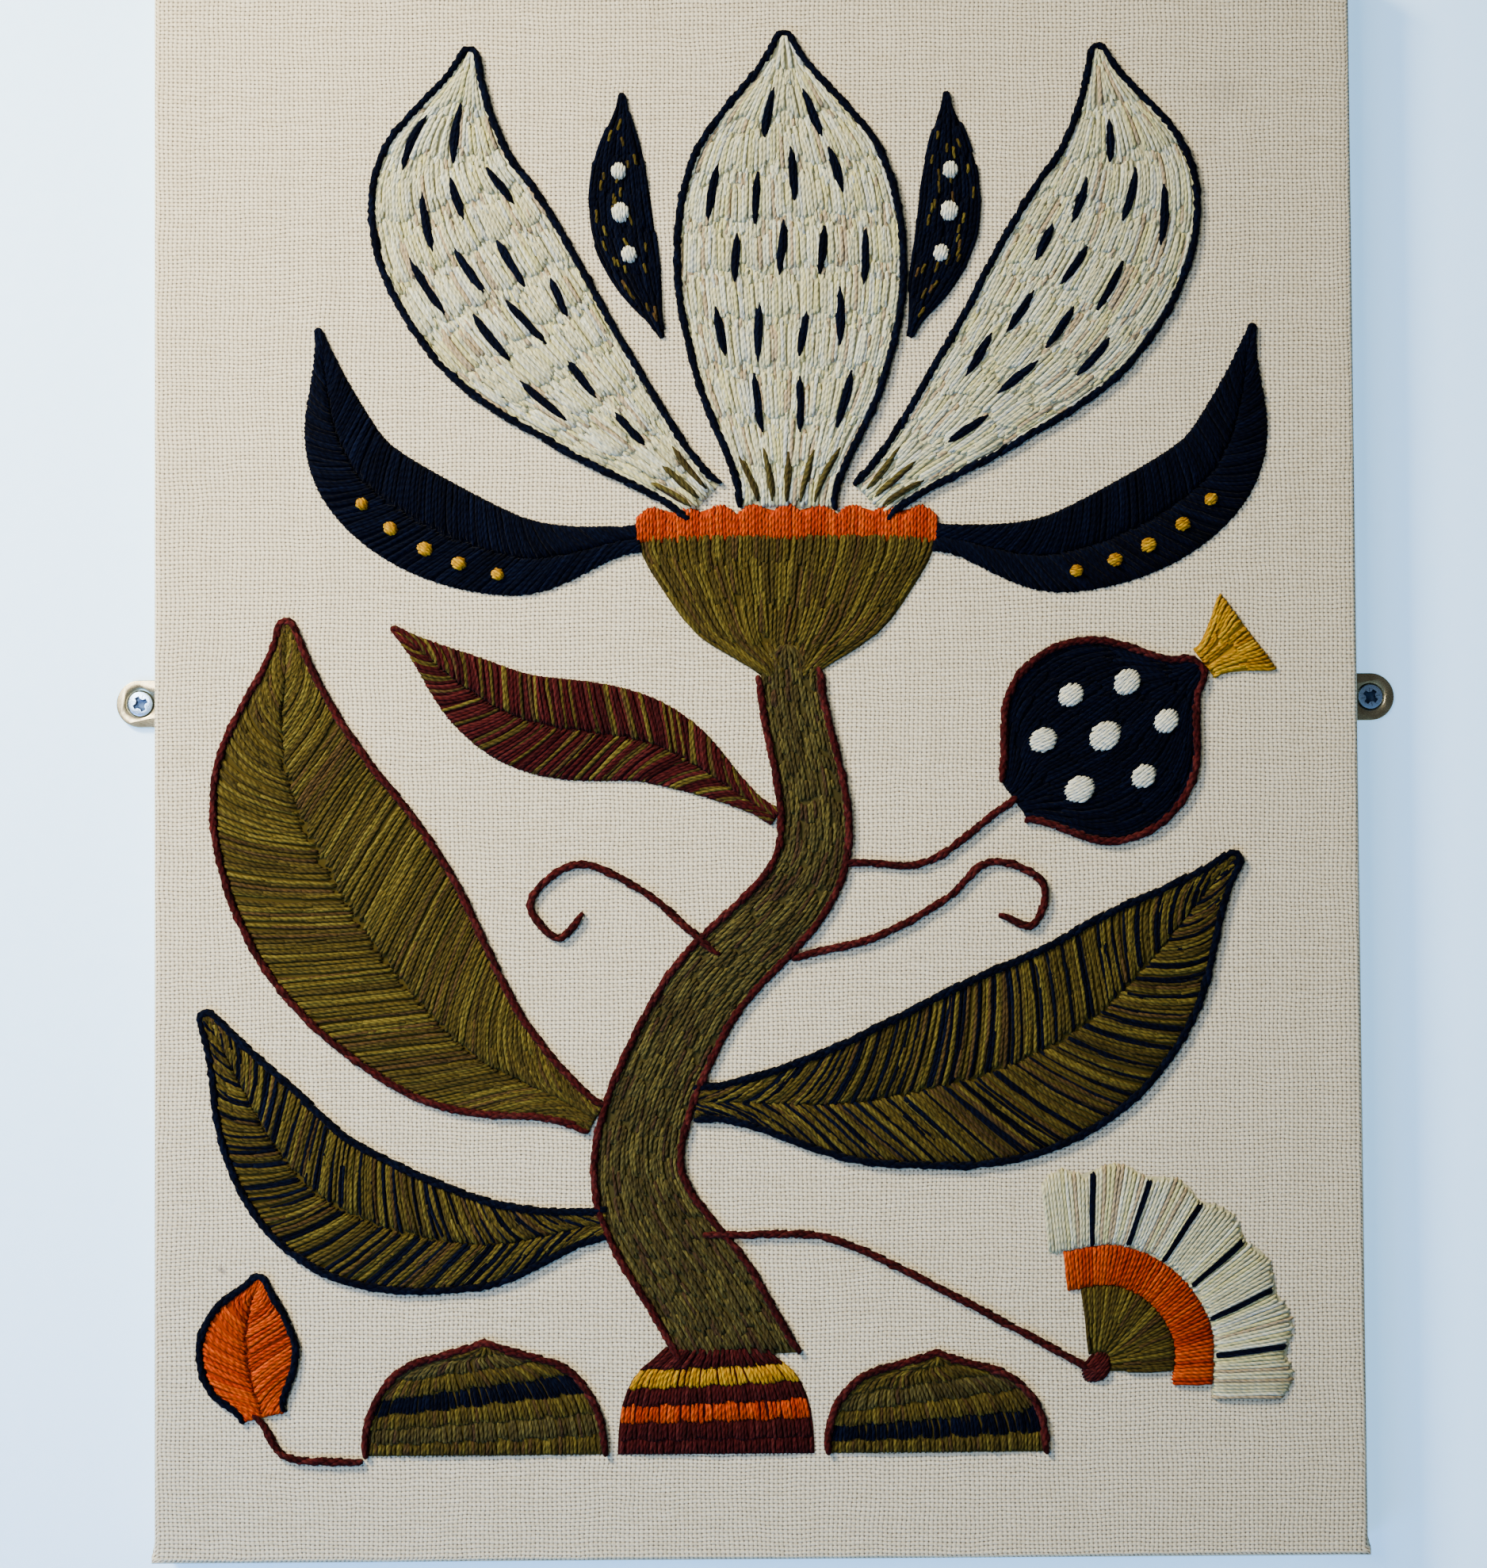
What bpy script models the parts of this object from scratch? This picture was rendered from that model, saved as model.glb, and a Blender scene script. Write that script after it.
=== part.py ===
"""A crewel embroidery panel: linen stretched over a softwood stretcher frame, with wool motifs.

The panel hangs on a wall by two mirror plates. The origin is on the wall, midway between the two
wall screws. +Z is up, and the front faces -Y. Lengths are in metres unless a name ends in _MM.
The motifs are flat designs in millimetres: x from the middle of the panel, z from its lower edge.
"""

import math
from collections import namedtuple

import bmesh
import bpy
from mathutils import Matrix, Vector

MM = 0.001
CLEARANCE = 0.3 * MM

# The panel
PANEL_WIDTH = 0.457
PANEL_HEIGHT = 0.610
CLOTH_THICKNESS = 1.0 * MM
BAR_WIDTH = 0.038
BAR_DEPTH = 0.018
FLAP_WIDTH = 0.024
EDGE_RADIUS = 2.0 * MM
FOLD_REACH = 0.015
FOLD_PROUD = 1.3 * MM

# The hanging plates and their screws
PLATE_THICKNESS = 1.6 * MM
PLATE_HALF_HEIGHT = 9.2 * MM
PLATE_INNER_REACH = 0.031
WALL_SCREW_OUT = 10.0 * MM
WALL_SCREW_ABOVE_LOWER_EDGE = 0.325
WALL_SCREW_LENGTH = 0.030
WALL_HEAD_RADIUS = 4.7 * MM
WALL_SHANK_RADIUS = 2.3 * MM
WALL_HEAD_DEPTH = 2.8 * MM
DISH_RADIUS = 6.2 * MM
DISH_INNER_RADIUS = 3.7 * MM
RECESS_SPAN = 5.4 * MM
RECESS_ARM = 1.1 * MM
RECESS_DEPTH = 1.5 * MM
FIXING_PLACES = (0.008, 0.023)
FIXING_HEAD_RADIUS = 3.4 * MM
FIXING_SHANK_RADIUS = 1.5 * MM
FIXING_HEAD_DEPTH = 1.3 * MM
FIXING_LENGTH = 0.013
FIXING_SUNK = 0.1 * MM
HEAD_RIM = 0.2 * MM

# Heights of the stitching above the cloth, in millimetres
PAD_EDGE_MM = 0.9
PAD_TOP_MM = 1.8
GROOVE_MM = 1.0
ROPE_RADIUS_MM = 1.5
ROPE_MARGIN_MM = 2.1
ROPE_STEP_MM = 14.0
ROPE_TURN = math.radians(16)
DOT_HALF_HEIGHT_MM = 0.9
SCALLOP_DEPTH_MM = 4.0

# Places along Y, from the wall forward
PLATE_FRONT_Y = -PLATE_THICKNESS
FLAP_BACK_Y = PLATE_FRONT_Y - CLEARANCE
BAR_BACK_Y = FLAP_BACK_Y - CLOTH_THICKNESS - CLEARANCE
BAR_FRONT_Y = BAR_BACK_Y - BAR_DEPTH
CLOTH_FRONT_Y = BAR_FRONT_Y - CLEARANCE - CLOTH_THICKNESS
STITCH_BASE_Y = CLOTH_FRONT_Y - CLEARANCE

HALF_WIDTH = PANEL_WIDTH / 2
LOWER_EDGE_Z = -WALL_SCREW_ABOVE_LOWER_EDGE
UPPER_EDGE_Z = LOWER_EDGE_Z + PANEL_HEIGHT
MIDDLE_Z = (LOWER_EDGE_Z + UPPER_EDGE_Z) / 2

# The colours of the yarns and the other stuff: red, green, blue, roughness, metallic
COLOURS = {
    "linen": (0.62, 0.56, 0.46, 0.9, 0.0),
    "pine": (0.62, 0.43, 0.24, 0.7, 0.0),
    "zinc": (0.55, 0.50, 0.38, 0.35, 1.0),
    "steel": (0.60, 0.63, 0.67, 0.3, 1.0),
    "olive": (0.115, 0.085, 0.022, 0.95, 0.0),
    "bark": (0.105, 0.070, 0.025, 0.95, 0.0),
    "olive_navy": (0.045, 0.038, 0.018, 0.95, 0.0),
    "olive_maroon": (0.085, 0.045, 0.022, 0.95, 0.0),
    "maroon": (0.052, 0.010, 0.012, 0.95, 0.0),
    "navy": (0.004, 0.006, 0.018, 0.95, 0.0),
    "cream": (0.66, 0.63, 0.50, 0.95, 0.0),
    "white": (0.75, 0.74, 0.68, 0.95, 0.0),
    "orange": (0.62, 0.095, 0.012, 0.95, 0.0),
    "gold": (0.52, 0.26, 0.03, 0.95, 0.0),
}

# A ribbon is a stitched shape along a spine: half widths at even steps from root to tip,
# scallops along its left edge, and whether a groove runs down its middle.
Ribbon = namedtuple("Ribbon", "name yarn spine half_widths scallops grooved")
# A rope is a stem-stitched line round a ribbon, or along its left or right edge.
Rope = namedtuple("Rope", "name yarn ribbon where")
Stalk = namedtuple("Stalk", "name yarn points")

BLOOM_AXIS_MM = 12
FAN_CENTRE_MM = (128, 74)
FAN_TURN = 48
FAN_SPREAD = 63


def fan_arc(radius):
    """Five points of an arc about the fan's centre, so that its left side is the outer one."""
    angles = [FAN_TURN + FAN_SPREAD * (1 - i / 2) for i in range(5)]
    return tuple(
        (
            FAN_CENTRE_MM[0] + radius * math.cos(math.radians(a)),
            FAN_CENTRE_MM[1] + radius * math.sin(math.radians(a)),
        )
        for a in angles
    )


def mirrored(ribbon):
    """The same ribbon on the other side of the bloom."""
    return ribbon._replace(
        name=ribbon.name.replace("left", "right"),
        spine=tuple((2 * BLOOM_AXIS_MM - x, z) for x, z in ribbon.spine),
    )


BLOOM_LEFT = (
    Ribbon("petal_left", "cream", ((-25, 404), (-62, 438), (-97, 477), (-116, 520), (-108, 570)),
           (7, 20, 31, 27, 0.9), 0, False),
    Ribbon("inner_left", "navy", ((-35, 462), (-50, 505), (-50, 556)), (1, 9, 12, 9, 0.8), 0, False),
    Ribbon("sepal_left", "navy", ((-48, 385), (-96, 380), (-150, 410), (-166, 466)),
           (5, 15, 19, 14, 0.9), 0, True),
)
RIBBONS = (
    Ribbon("hill_left", "olive", ((-104, 40), (-104, 60), (-104, 80)), (43, 42.5, 40.5, 36, 27, 0.9), 0, False),
    Ribbon("hill_middle", "maroon", ((-17, 40), (-17, 63), (-17, 87)), (37, 36.5, 35, 31, 23, 0.9), 0, False),
    Ribbon("hill_right", "olive", ((66, 40), (66, 57), (66, 75)), (39, 38.5, 37, 33, 24, 0.9), 0, False),
    Ribbon("trunk", "bark", ((-19, 96), (-46, 146), (-24, 208), (20, 262), (13, 329)),
           (18, 14, 12.5, 11, 9.5), 0, False),
    Ribbon("calyx", "olive", ((12, 332), (12, 356), (12, 382)), (9, 34, 47, 56), 0, True),
    Ribbon("bloom_band", "orange", ((-45, 388.5), (12, 389.5), (69, 388.5)), (5, 5, 5), 9, False),
    Ribbon("petal_middle", "cream", ((12, 402), (14, 478), (12, 576)), (16, 33, 41, 33, 0.9), 0, False),
    *BLOOM_LEFT,
    *map(mirrored, BLOOM_LEFT),
    Ribbon("leaf_left", "olive", ((-67, 169), (-122, 204), (-172, 280), (-178, 352)),
           (4, 26, 37, 28, 0.9), 0, True),
    Ribbon("leaf_low_left", "olive_navy", ((-63, 126), (-112, 120), (-168, 140), (-208, 204)),
           (3, 15, 22, 16, 0.9), 0, True),
    Ribbon("leaf_high_left", "olive_maroon", ((1, 283), (-40, 308), (-92, 318), (-138, 352)),
           (3, 14, 19, 14, 0.9), 0, True),
    Ribbon("leaf_right", "olive_navy", ((-15, 172), (50, 174), (120, 198), (180, 262)),
           (4, 22, 33, 25, 0.9), 0, True),
    Ribbon("fruit", "navy", ((98, 286), (130, 308), (163, 332)), (7, 31, 37, 29, 5), 0, False),
    Ribbon("fruit_crown", "gold", ((172, 338), (187, 349)), (7, 12, 18), 0, True),
    Ribbon("fan_cup", "olive", fan_arc(16), (12, 12), 0, False),
    Ribbon("fan_band", "orange", fan_arc(36), (7, 7), 0, False),
    Ribbon("fan_fringe", "cream", fan_arc(57), (12, 12), 7, False),
    Ribbon("bud", "orange", ((-188, 58), (-193, 80), (-189, 105)), (6, 14, 16, 11, 0.9), 0, True),
)
ROPES = (
    Rope("edge_hill_left", "maroon", "hill_left", "round"),
    Rope("edge_hill_right", "maroon", "hill_right", "round"),
    Rope("edge_trunk_left", "maroon", "trunk", "left"),
    Rope("edge_trunk_right", "maroon", "trunk", "right"),
    Rope("edge_petal_middle", "navy", "petal_middle", "round"),
    Rope("edge_petal_left", "navy", "petal_left", "round"),
    Rope("edge_petal_right", "navy", "petal_right", "round"),
    Rope("edge_leaf_left", "maroon", "leaf_left", "round"),
    Rope("edge_leaf_low_left", "navy", "leaf_low_left", "round"),
    Rope("edge_leaf_right", "navy", "leaf_right", "round"),
    Rope("edge_fruit", "maroon", "fruit", "round"),
    Rope("edge_bud", "navy", "bud", "round"),
)
STALKS = (
    Stalk("stalk_fan", "maroon", ((-8, 122), (28, 120), (78, 96), (124, 71))),
    Stalk("stalk_fruit", "maroon", ((40, 262), (64, 262), (91, 281))),
    Stalk("stalk_bud", "maroon", ((-187, 52), (-178, 40), (-154, 38))),
    Stalk("curl_left", "maroon", ((-25, 236), (-44, 252), (-68, 262), (-86, 248), (-76, 234), (-66, 243))),
    Stalk("curl_right", "maroon", ((21, 228), (45, 234), (71, 248), (88, 262), (108, 254), (104, 238),
                                   (92, 242))),
)
# The white dots on the fruit: along its spine from the root, across it to the left, half length
Dot = namedtuple("Dot", "along across half_length")
FRUIT_DOTS = (
    Dot(20, 11, 6.0),
    Dot(24, -12, 6.5),
    Dot(41, 20, 5.5),
    Dot(42, 0, 7.0),
    Dot(44, -21, 5.5),
    Dot(62, 10, 6.0),
    Dot(63, -11, 5.5),
)


def clear_scene():
    """Removes every object of the start-up scene."""
    for old in list(bpy.data.objects):
        bpy.data.objects.remove(old, do_unlink=True)


def new_collection(name):
    """A collection in the scene."""
    made = bpy.data.collections.new(name)
    bpy.context.scene.collection.children.link(made)
    return made


def material(name):
    """The Principled material of one yarn, wood, cloth or metal."""
    if name in bpy.data.materials:
        return bpy.data.materials[name]
    red, green, blue, roughness, metallic = COLOURS[name]
    made = bpy.data.materials.new(name)
    made.use_nodes = True
    shader = made.node_tree.nodes["Principled BSDF"]
    shader.inputs["Base Color"].default_value = (red, green, blue, 1.0)
    shader.inputs["Roughness"].default_value = roughness
    shader.inputs["Metallic"].default_value = metallic
    made.diffuse_color = (red, green, blue, 1.0)
    return made


def add_object(name, data, collection, stuff=None):
    """An object in a collection, with its material."""
    made = bpy.data.objects.new(name, data)
    collection.objects.link(made)
    if stuff:
        data.materials.append(material(stuff))
    return made


def mesh_object(name, bm, collection, stuff=None):
    """An object from a bmesh, which is freed."""
    mesh = bpy.data.meshes.new(name)
    bm.to_mesh(mesh)
    bm.free()
    return add_object(name, mesh, collection, stuff)


def add_modifier(obj, kind, **values):
    """A modifier of a kind, with its values."""
    made = obj.modifiers.new(kind.title(), kind)
    for key, value in values.items():
        setattr(made, key, value)
    return made


def cut_by(obj, cutter):
    """Cuts a cutter's shape out of an object."""
    add_modifier(obj, "BOOLEAN", operation="DIFFERENCE", object=cutter, solver="EXACT")


def box_bmesh(low, high):
    """A box between two corners."""
    bm = bmesh.new()
    size = Vector(high) - Vector(low)
    middle = (Vector(high) + Vector(low)) / 2
    bmesh.ops.create_cube(bm, size=1.0, matrix=Matrix.Translation(middle) @ Matrix.Diagonal((*size, 1.0)))
    return bm


def cone_bmesh(place, back_radius, front_radius, depth, sides):
    """A cone along Y: its back at place, its front a depth nearer to the viewer."""
    bm = bmesh.new()
    turn = Matrix.Translation(Vector(place) - Vector((0, depth / 2, 0))) @ Matrix.Rotation(math.pi / 2, 4, "X")
    bmesh.ops.create_cone(bm, cap_ends=True, segments=sides, radius1=back_radius, radius2=front_radius,
                          depth=depth, matrix=turn)
    return bm


def cutter_object(name, bm, cutters):
    """A hidden wire object that cuts others."""
    made = mesh_object(name, bm, cutters)
    made.hide_render = True
    made.display_type = "WIRE"
    return made


def joined(*parts):
    """One bmesh of several."""
    whole = parts[0]
    for part in parts[1:]:
        spare = bpy.data.meshes.new("spare")
        part.to_mesh(spare)
        part.free()
        whole.from_mesh(spare)
        bpy.data.meshes.remove(spare)
    return whole


# Lines and outlines in the plane of the design


def spline_value(before, start, end, after, share):
    """A smooth value between start and end, going by their neighbours."""
    bend = share * (3 * (start - end) + after - before)
    curve = 2 * before - 5 * start + 4 * end - after + bend
    return start + 0.5 * share * (end - before + share * curve)


def eased(keys, share):
    """The value at a share of evenly spaced keys, smoothly joined."""
    at = share * (len(keys) - 1)
    k = min(int(at), len(keys) - 2)
    before, after = keys[max(k - 1, 0)], keys[min(k + 2, len(keys) - 1)]
    return spline_value(before, keys[k], keys[k + 1], after, at - k)


def even_points(line, count):
    """A count of points evenly along a line."""
    run = [0.0]
    for a, b in zip(line, line[1:]):
        run.append(run[-1] + math.dist(a, b))
    points, k = [], 0
    for i in range(count):
        want = run[-1] * i / (count - 1)
        while k < len(run) - 2 and run[k + 1] < want:
            k += 1
        share = (want - run[k]) / max(run[k + 1] - run[k], 1e-9)
        points.append(tuple(p + (q - p) * share for p, q in zip(line[k], line[k + 1])))
    return points


def through(points, count):
    """A count of points evenly along a smooth line through the given points."""
    first = tuple(2 * p - q for p, q in zip(points[0], points[1]))
    last = tuple(2 * p - q for p, q in zip(points[-1], points[-2]))
    guide = [first, *points, last]
    steps = 24
    dense = [
        tuple(spline_value(*values, j / steps) for values in zip(*guide[i - 1 : i + 3]))
        for i in range(1, len(guide) - 2)
        for j in range(steps)
    ]
    return even_points([*dense, points[-1]], count)


def thinned(line, longest, most_turn):
    """A line without the points that its straight stretches don't need."""
    kept, run, turned = [line[0]], 0.0, 0.0
    for before, here, after in zip(line, line[1:], line[2:]):
        run += math.dist(before, here)
        heading = math.atan2(after[1] - here[1], after[0] - here[0])
        turned += math.remainder(heading - math.atan2(here[1] - before[1], here[0] - before[0]), math.tau)
        if run > longest or abs(turned) > most_turn:
            kept.append(here)
            run = turned = 0.0
    return [*kept, line[-1]]


def length_of(line):
    """The length of a line of points."""
    return sum(math.dist(a, b) for a, b in zip(line, line[1:]))


def left_normals(line):
    """The unit vectors that point to a line's left."""
    normals = []
    for i in range(len(line)):
        a, b = line[max(i - 1, 0)], line[min(i + 1, len(line) - 1)]
        run = math.dist(a, b)
        normals.append(((a[1] - b[1]) / run, (b[0] - a[0]) / run))
    return normals


def shifted(line, to_left):
    """A line moved sideways."""
    return [(p[0] + n[0] * to_left, p[1] + n[1] * to_left) for p, n in zip(line, left_normals(line))]


def ribbon_edges(ribbon, count):
    """The left and the right edge of a ribbon, from root to tip."""
    line = through(ribbon.spine, count)
    left, right = [], []
    for i, (p, n) in enumerate(zip(line, left_normals(line))):
        share = i / (count - 1)
        half = eased(ribbon.half_widths, share)
        scallop = SCALLOP_DEPTH_MM * abs(math.sin(math.pi * ribbon.scallops * share))
        left.append((p[0] + n[0] * (half + scallop), p[1] + n[1] * (half + scallop)))
        right.append((p[0] - n[0] * half, p[1] - n[1] * half))
    return left, right


def line_round(ribbon, margin, count=60):
    """The line that runs up a ribbon's left edge, round its tip and down its right edge."""
    left, right = ribbon_edges(ribbon, count)
    up, down = shifted(left, margin), shifted(right, -margin)
    tip = through(ribbon.spine, count)[-1]
    start = math.atan2(up[-1][1] - tip[1], up[-1][0] - tip[0])
    end = math.atan2(down[-1][1] - tip[1], down[-1][0] - tip[0])
    turn = (end - start) % math.tau - math.tau
    radius = math.dist(up[-1], tip)
    angles = [start + turn * i / 6 for i in range(1, 6)]
    return up + [(tip[0] + radius * math.cos(a), tip[1] + radius * math.sin(a)) for a in angles] + down[::-1]


def on_panel(point, height_mm=0.0):
    """The place in space of a point of the design, a height above the stitching's base."""
    return Vector((point[0] * MM, STITCH_BASE_Y - height_mm * MM, LOWER_EDGE_Z + point[1] * MM))


# The stitching


def pad_height(across, grooved):
    """The height of a stitched pad at a share across it, from -1 to 1."""
    if not grooved:
        return PAD_EDGE_MM + (PAD_TOP_MM - PAD_EDGE_MM) * (1 - across**4)
    rise = math.sin(math.pi * abs(across)) ** 0.5
    low = GROOVE_MM + (PAD_EDGE_MM - GROOVE_MM) * abs(across)
    return low + (PAD_TOP_MM - low) * rise


def add_pad(ribbon, collection):
    """A low pad of stitches over a ribbon: a grid bent along it, with a flat underside."""
    long_steps = max(8, round(length_of(through(ribbon.spine, 40)) / 12), 4 * ribbon.scallops)
    cross_steps = 6 if ribbon.grooved else 4
    left, right = ribbon_edges(ribbon, long_steps + 1)
    bm = bmesh.new()
    bmesh.ops.create_grid(bm, x_segments=long_steps, y_segments=cross_steps, size=1.0)
    for vert in bm.verts:
        row = round((vert.co.x + 1) / 2 * long_steps)
        across = vert.co.y
        share = (1 - across) / 2
        point = [a + (b - a) * share for a, b in zip(left[row], right[row])]
        vert.co = on_panel(point, pad_height(across, ribbon.grooved))
    under = bmesh.ops.extrude_face_region(bm, geom=list(bm.faces), use_keep_orig=True)["geom"]
    for vert in (v for v in under if isinstance(v, bmesh.types.BMVert)):
        vert.co.y = STITCH_BASE_Y
    floor = [f for f in bm.faces if all(abs(v.co.y - STITCH_BASE_Y) < 1e-7 for v in f.verts)]
    bmesh.ops.dissolve_faces(bm, faces=floor)
    loose = [v for v in bm.verts if not v.link_faces]
    bmesh.ops.delete(bm, geom=loose, context="VERTS")
    bmesh.ops.recalc_face_normals(bm, faces=bm.faces)
    mesh_object(ribbon.name, bm, collection, ribbon.yarn)


def add_rope(name, yarn, line, collection):
    """A round rope of stitches along a line of the design."""
    points = thinned(line, ROPE_STEP_MM, ROPE_TURN)
    curve = bpy.data.curves.new(name, "CURVE")
    curve.dimensions = "3D"
    curve.bevel_depth = ROPE_RADIUS_MM * MM
    curve.bevel_resolution = 1
    curve.use_fill_caps = True
    spline = curve.splines.new("POLY")
    spline.points.add(len(points) - 1)
    for spot, point in zip(spline.points, points):
        spot.co = (*on_panel(point, ROPE_RADIUS_MM), 1.0)
    add_object(name, curve, collection, yarn)


def add_edge_rope(rope, ribbon, collection):
    """The stem-stitched line round a ribbon or along one of its edges."""
    if rope.where == "round":
        line = line_round(ribbon, ROPE_MARGIN_MM)
    else:
        left, right = ribbon_edges(ribbon, 60)
        line = shifted(left, ROPE_MARGIN_MM) if rope.where == "left" else shifted(right, -ROPE_MARGIN_MM)
    add_rope(rope.name, rope.yarn, line, collection)


def add_dot(name, dot, ribbon, collection):
    """A raised oval of satin stitches on top of a ribbon's pad."""
    line = through(ribbon.spine, 80)
    at = round(dot.along / length_of(line) * 79)
    normal = left_normals(line)[at]
    point = (line[at][0] + normal[0] * dot.across, line[at][1] + normal[1] * dot.across)
    turn = math.atan2(-normal[0], normal[1])
    lift = PAD_TOP_MM + CLEARANCE / MM + DOT_HALF_HEIGHT_MM
    size = Matrix.Diagonal((dot.half_length * MM, DOT_HALF_HEIGHT_MM * MM, 0.8 * dot.half_length * MM, 1.0))
    place = Matrix.Translation(on_panel(point, lift)) @ Matrix.Rotation(-turn, 4, "Y")
    bm = bmesh.new()
    bmesh.ops.create_uvsphere(bm, u_segments=10, v_segments=6, radius=1.0, matrix=place @ size)
    mesh_object(name, bm, collection, "white")


# The cloth, the frame and the fittings


def fold_bulge(x, z):
    """How far the folded corner stands out of the panel's side at a height."""
    side_z = min(z - LOWER_EDGE_Z, UPPER_EDGE_Z - z)
    share = max(0.0, 1 - side_z / FOLD_REACH)
    near_side = abs(x) > HALF_WIDTH - EDGE_RADIUS
    return FOLD_PROUD * share**0.5 * math.copysign(1, x) if near_side else 0.0


def add_cloth(collection, cutters):
    """The linen: one sheet over the front, round the sides and turned in over the back."""
    bm = box_bmesh((-HALF_WIDTH, CLOTH_FRONT_Y, LOWER_EDGE_Z), (HALF_WIDTH, FLAP_BACK_Y, UPPER_EDGE_Z))
    back = max(bm.faces, key=lambda face: face.calc_center_median().y)
    bmesh.ops.inset_region(bm, faces=[back], thickness=FLAP_WIDTH, use_even_offset=True)
    bmesh.ops.delete(bm, geom=[back], context="FACES")
    outer = [
        edge
        for edge in bm.edges
        if len(edge.link_faces) == 2 and edge.calc_face_angle() > math.radians(60)
    ]
    bmesh.ops.bevel(bm, geom=outer, offset=EDGE_RADIUS, segments=3, profile=0.5, affect="EDGES")
    for share in (0.5, 1.0):
        for end, up in ((LOWER_EDGE_Z, 1), (UPPER_EDGE_Z, -1)):
            cut = Vector((0, 0, end + up * share * FOLD_REACH))
            geom = bm.verts[:] + bm.edges[:] + bm.faces[:]
            bmesh.ops.bisect_plane(bm, geom=geom, plane_co=cut, plane_no=(0, 0, 1), dist=1e-6)
    for vert in bm.verts:
        vert.co.x += fold_bulge(vert.co.x, vert.co.z)
    cloth = mesh_object("ground_cloth", bm, collection, "linen")
    add_modifier(cloth, "SOLIDIFY", thickness=CLOTH_THICKNESS, offset=-1.0, use_even_offset=True)
    cut_by(cloth, cutters["fixing_holes"])


def add_bar(name, half_length, place, turn, collection, cutters):
    """A stretcher bar along X with mitred ends, its outer side up, then turned into its place."""
    bm = box_bmesh((-half_length, BAR_FRONT_Y, -BAR_WIDTH), (half_length, BAR_BACK_Y, 0))
    for vert in bm.verts:
        if vert.co.z < -BAR_WIDTH / 2:
            vert.co.x -= math.copysign(BAR_WIDTH, vert.co.x)
    bm.transform(Matrix.Translation(place) @ Matrix.Rotation(turn, 4, "Y"))
    bar = mesh_object(name, bm, collection, "pine")
    add_modifier(bar, "BEVEL", width=1.0 * MM, segments=1, limit_method="ANGLE", angle_limit=math.radians(50))
    cut_by(bar, cutters["fixing_holes"])


def add_stretcher(collection, cutters):
    """The four mitred bars inside the cloth."""
    inside = CLOTH_THICKNESS + CLEARANCE
    mitre_gap = CLEARANCE * math.sqrt(2) / 2
    across = HALF_WIDTH - inside - mitre_gap
    upright = PANEL_HEIGHT / 2 - inside - mitre_gap
    top, bottom = UPPER_EDGE_Z - inside, LOWER_EDGE_Z + inside
    side = HALF_WIDTH - inside
    add_bar("bar_top", across, (0, 0, top), 0, collection, cutters)
    add_bar("bar_bottom", across, (0, 0, bottom), math.pi, collection, cutters)
    add_bar("bar_right", upright, (side, 0, MIDDLE_Z), math.pi / 2, collection, cutters)
    add_bar("bar_left", upright, (-side, 0, MIDDLE_Z), -math.pi / 2, collection, cutters)


def fixing_x():
    """Where the plates' fixing screws go into the bars, as places along X."""
    return [side * (HALF_WIDTH - reach) for side in (-1, 1) for reach in FIXING_PLACES]


def make_cutters(collection):
    """The shapes that are cut out: holes for the fixing screws, plate holes, and screw recesses."""
    clear = FIXING_SHANK_RADIUS + CLEARANCE
    deep = FIXING_LENGTH + 2 * CLEARANCE
    shanks = joined(*[cone_bmesh((x, MM, 0), clear, clear, deep + MM, 12) for x in fixing_x()])
    slope = (FIXING_HEAD_RADIUS - FIXING_SHANK_RADIUS) / (FIXING_HEAD_DEPTH - HEAD_RIM)
    head_bottom = FIXING_HEAD_DEPTH + FIXING_SUNK
    heads = joined(*[
        cone_bmesh((x, MM, 0), clear + slope * (head_bottom + MM), clear, head_bottom + MM, 16)
        for x in fixing_x()
    ])
    screw_x = HALF_WIDTH + WALL_SCREW_OUT
    widen = (DISH_RADIUS - DISH_INNER_RADIUS) / PLATE_THICKNESS * MM
    dishes = joined(*[
        cone_bmesh((x, MM, 0), DISH_INNER_RADIUS - widen, DISH_RADIUS + widen, PLATE_THICKNESS + 2 * MM, 24)
        for x in (-screw_x, screw_x)
    ])
    arm, span = RECESS_ARM / 2, RECESS_SPAN / 2
    head_y = PLATE_FRONT_Y - CLEARANCE
    crosses = [
        box_bmesh((x - a, head_y - MM, -b), (x + a, head_y + RECESS_DEPTH, b))
        for x in (-screw_x, screw_x)
        for a, b in ((arm, span), (span, arm))
    ]
    return {
        "fixing_holes": cutter_object("cut_fixing_holes", shanks, collection),
        "fixing_heads": cutter_object("cut_fixing_heads", heads, collection),
        "dishes": cutter_object("cut_dishes", dishes, collection),
        "recess_upright": cutter_object("cut_recess_upright", joined(*crosses[::2]), collection),
        "recess_level": cutter_object("cut_recess_level", joined(*crosses[1::2]), collection),
    }


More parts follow.
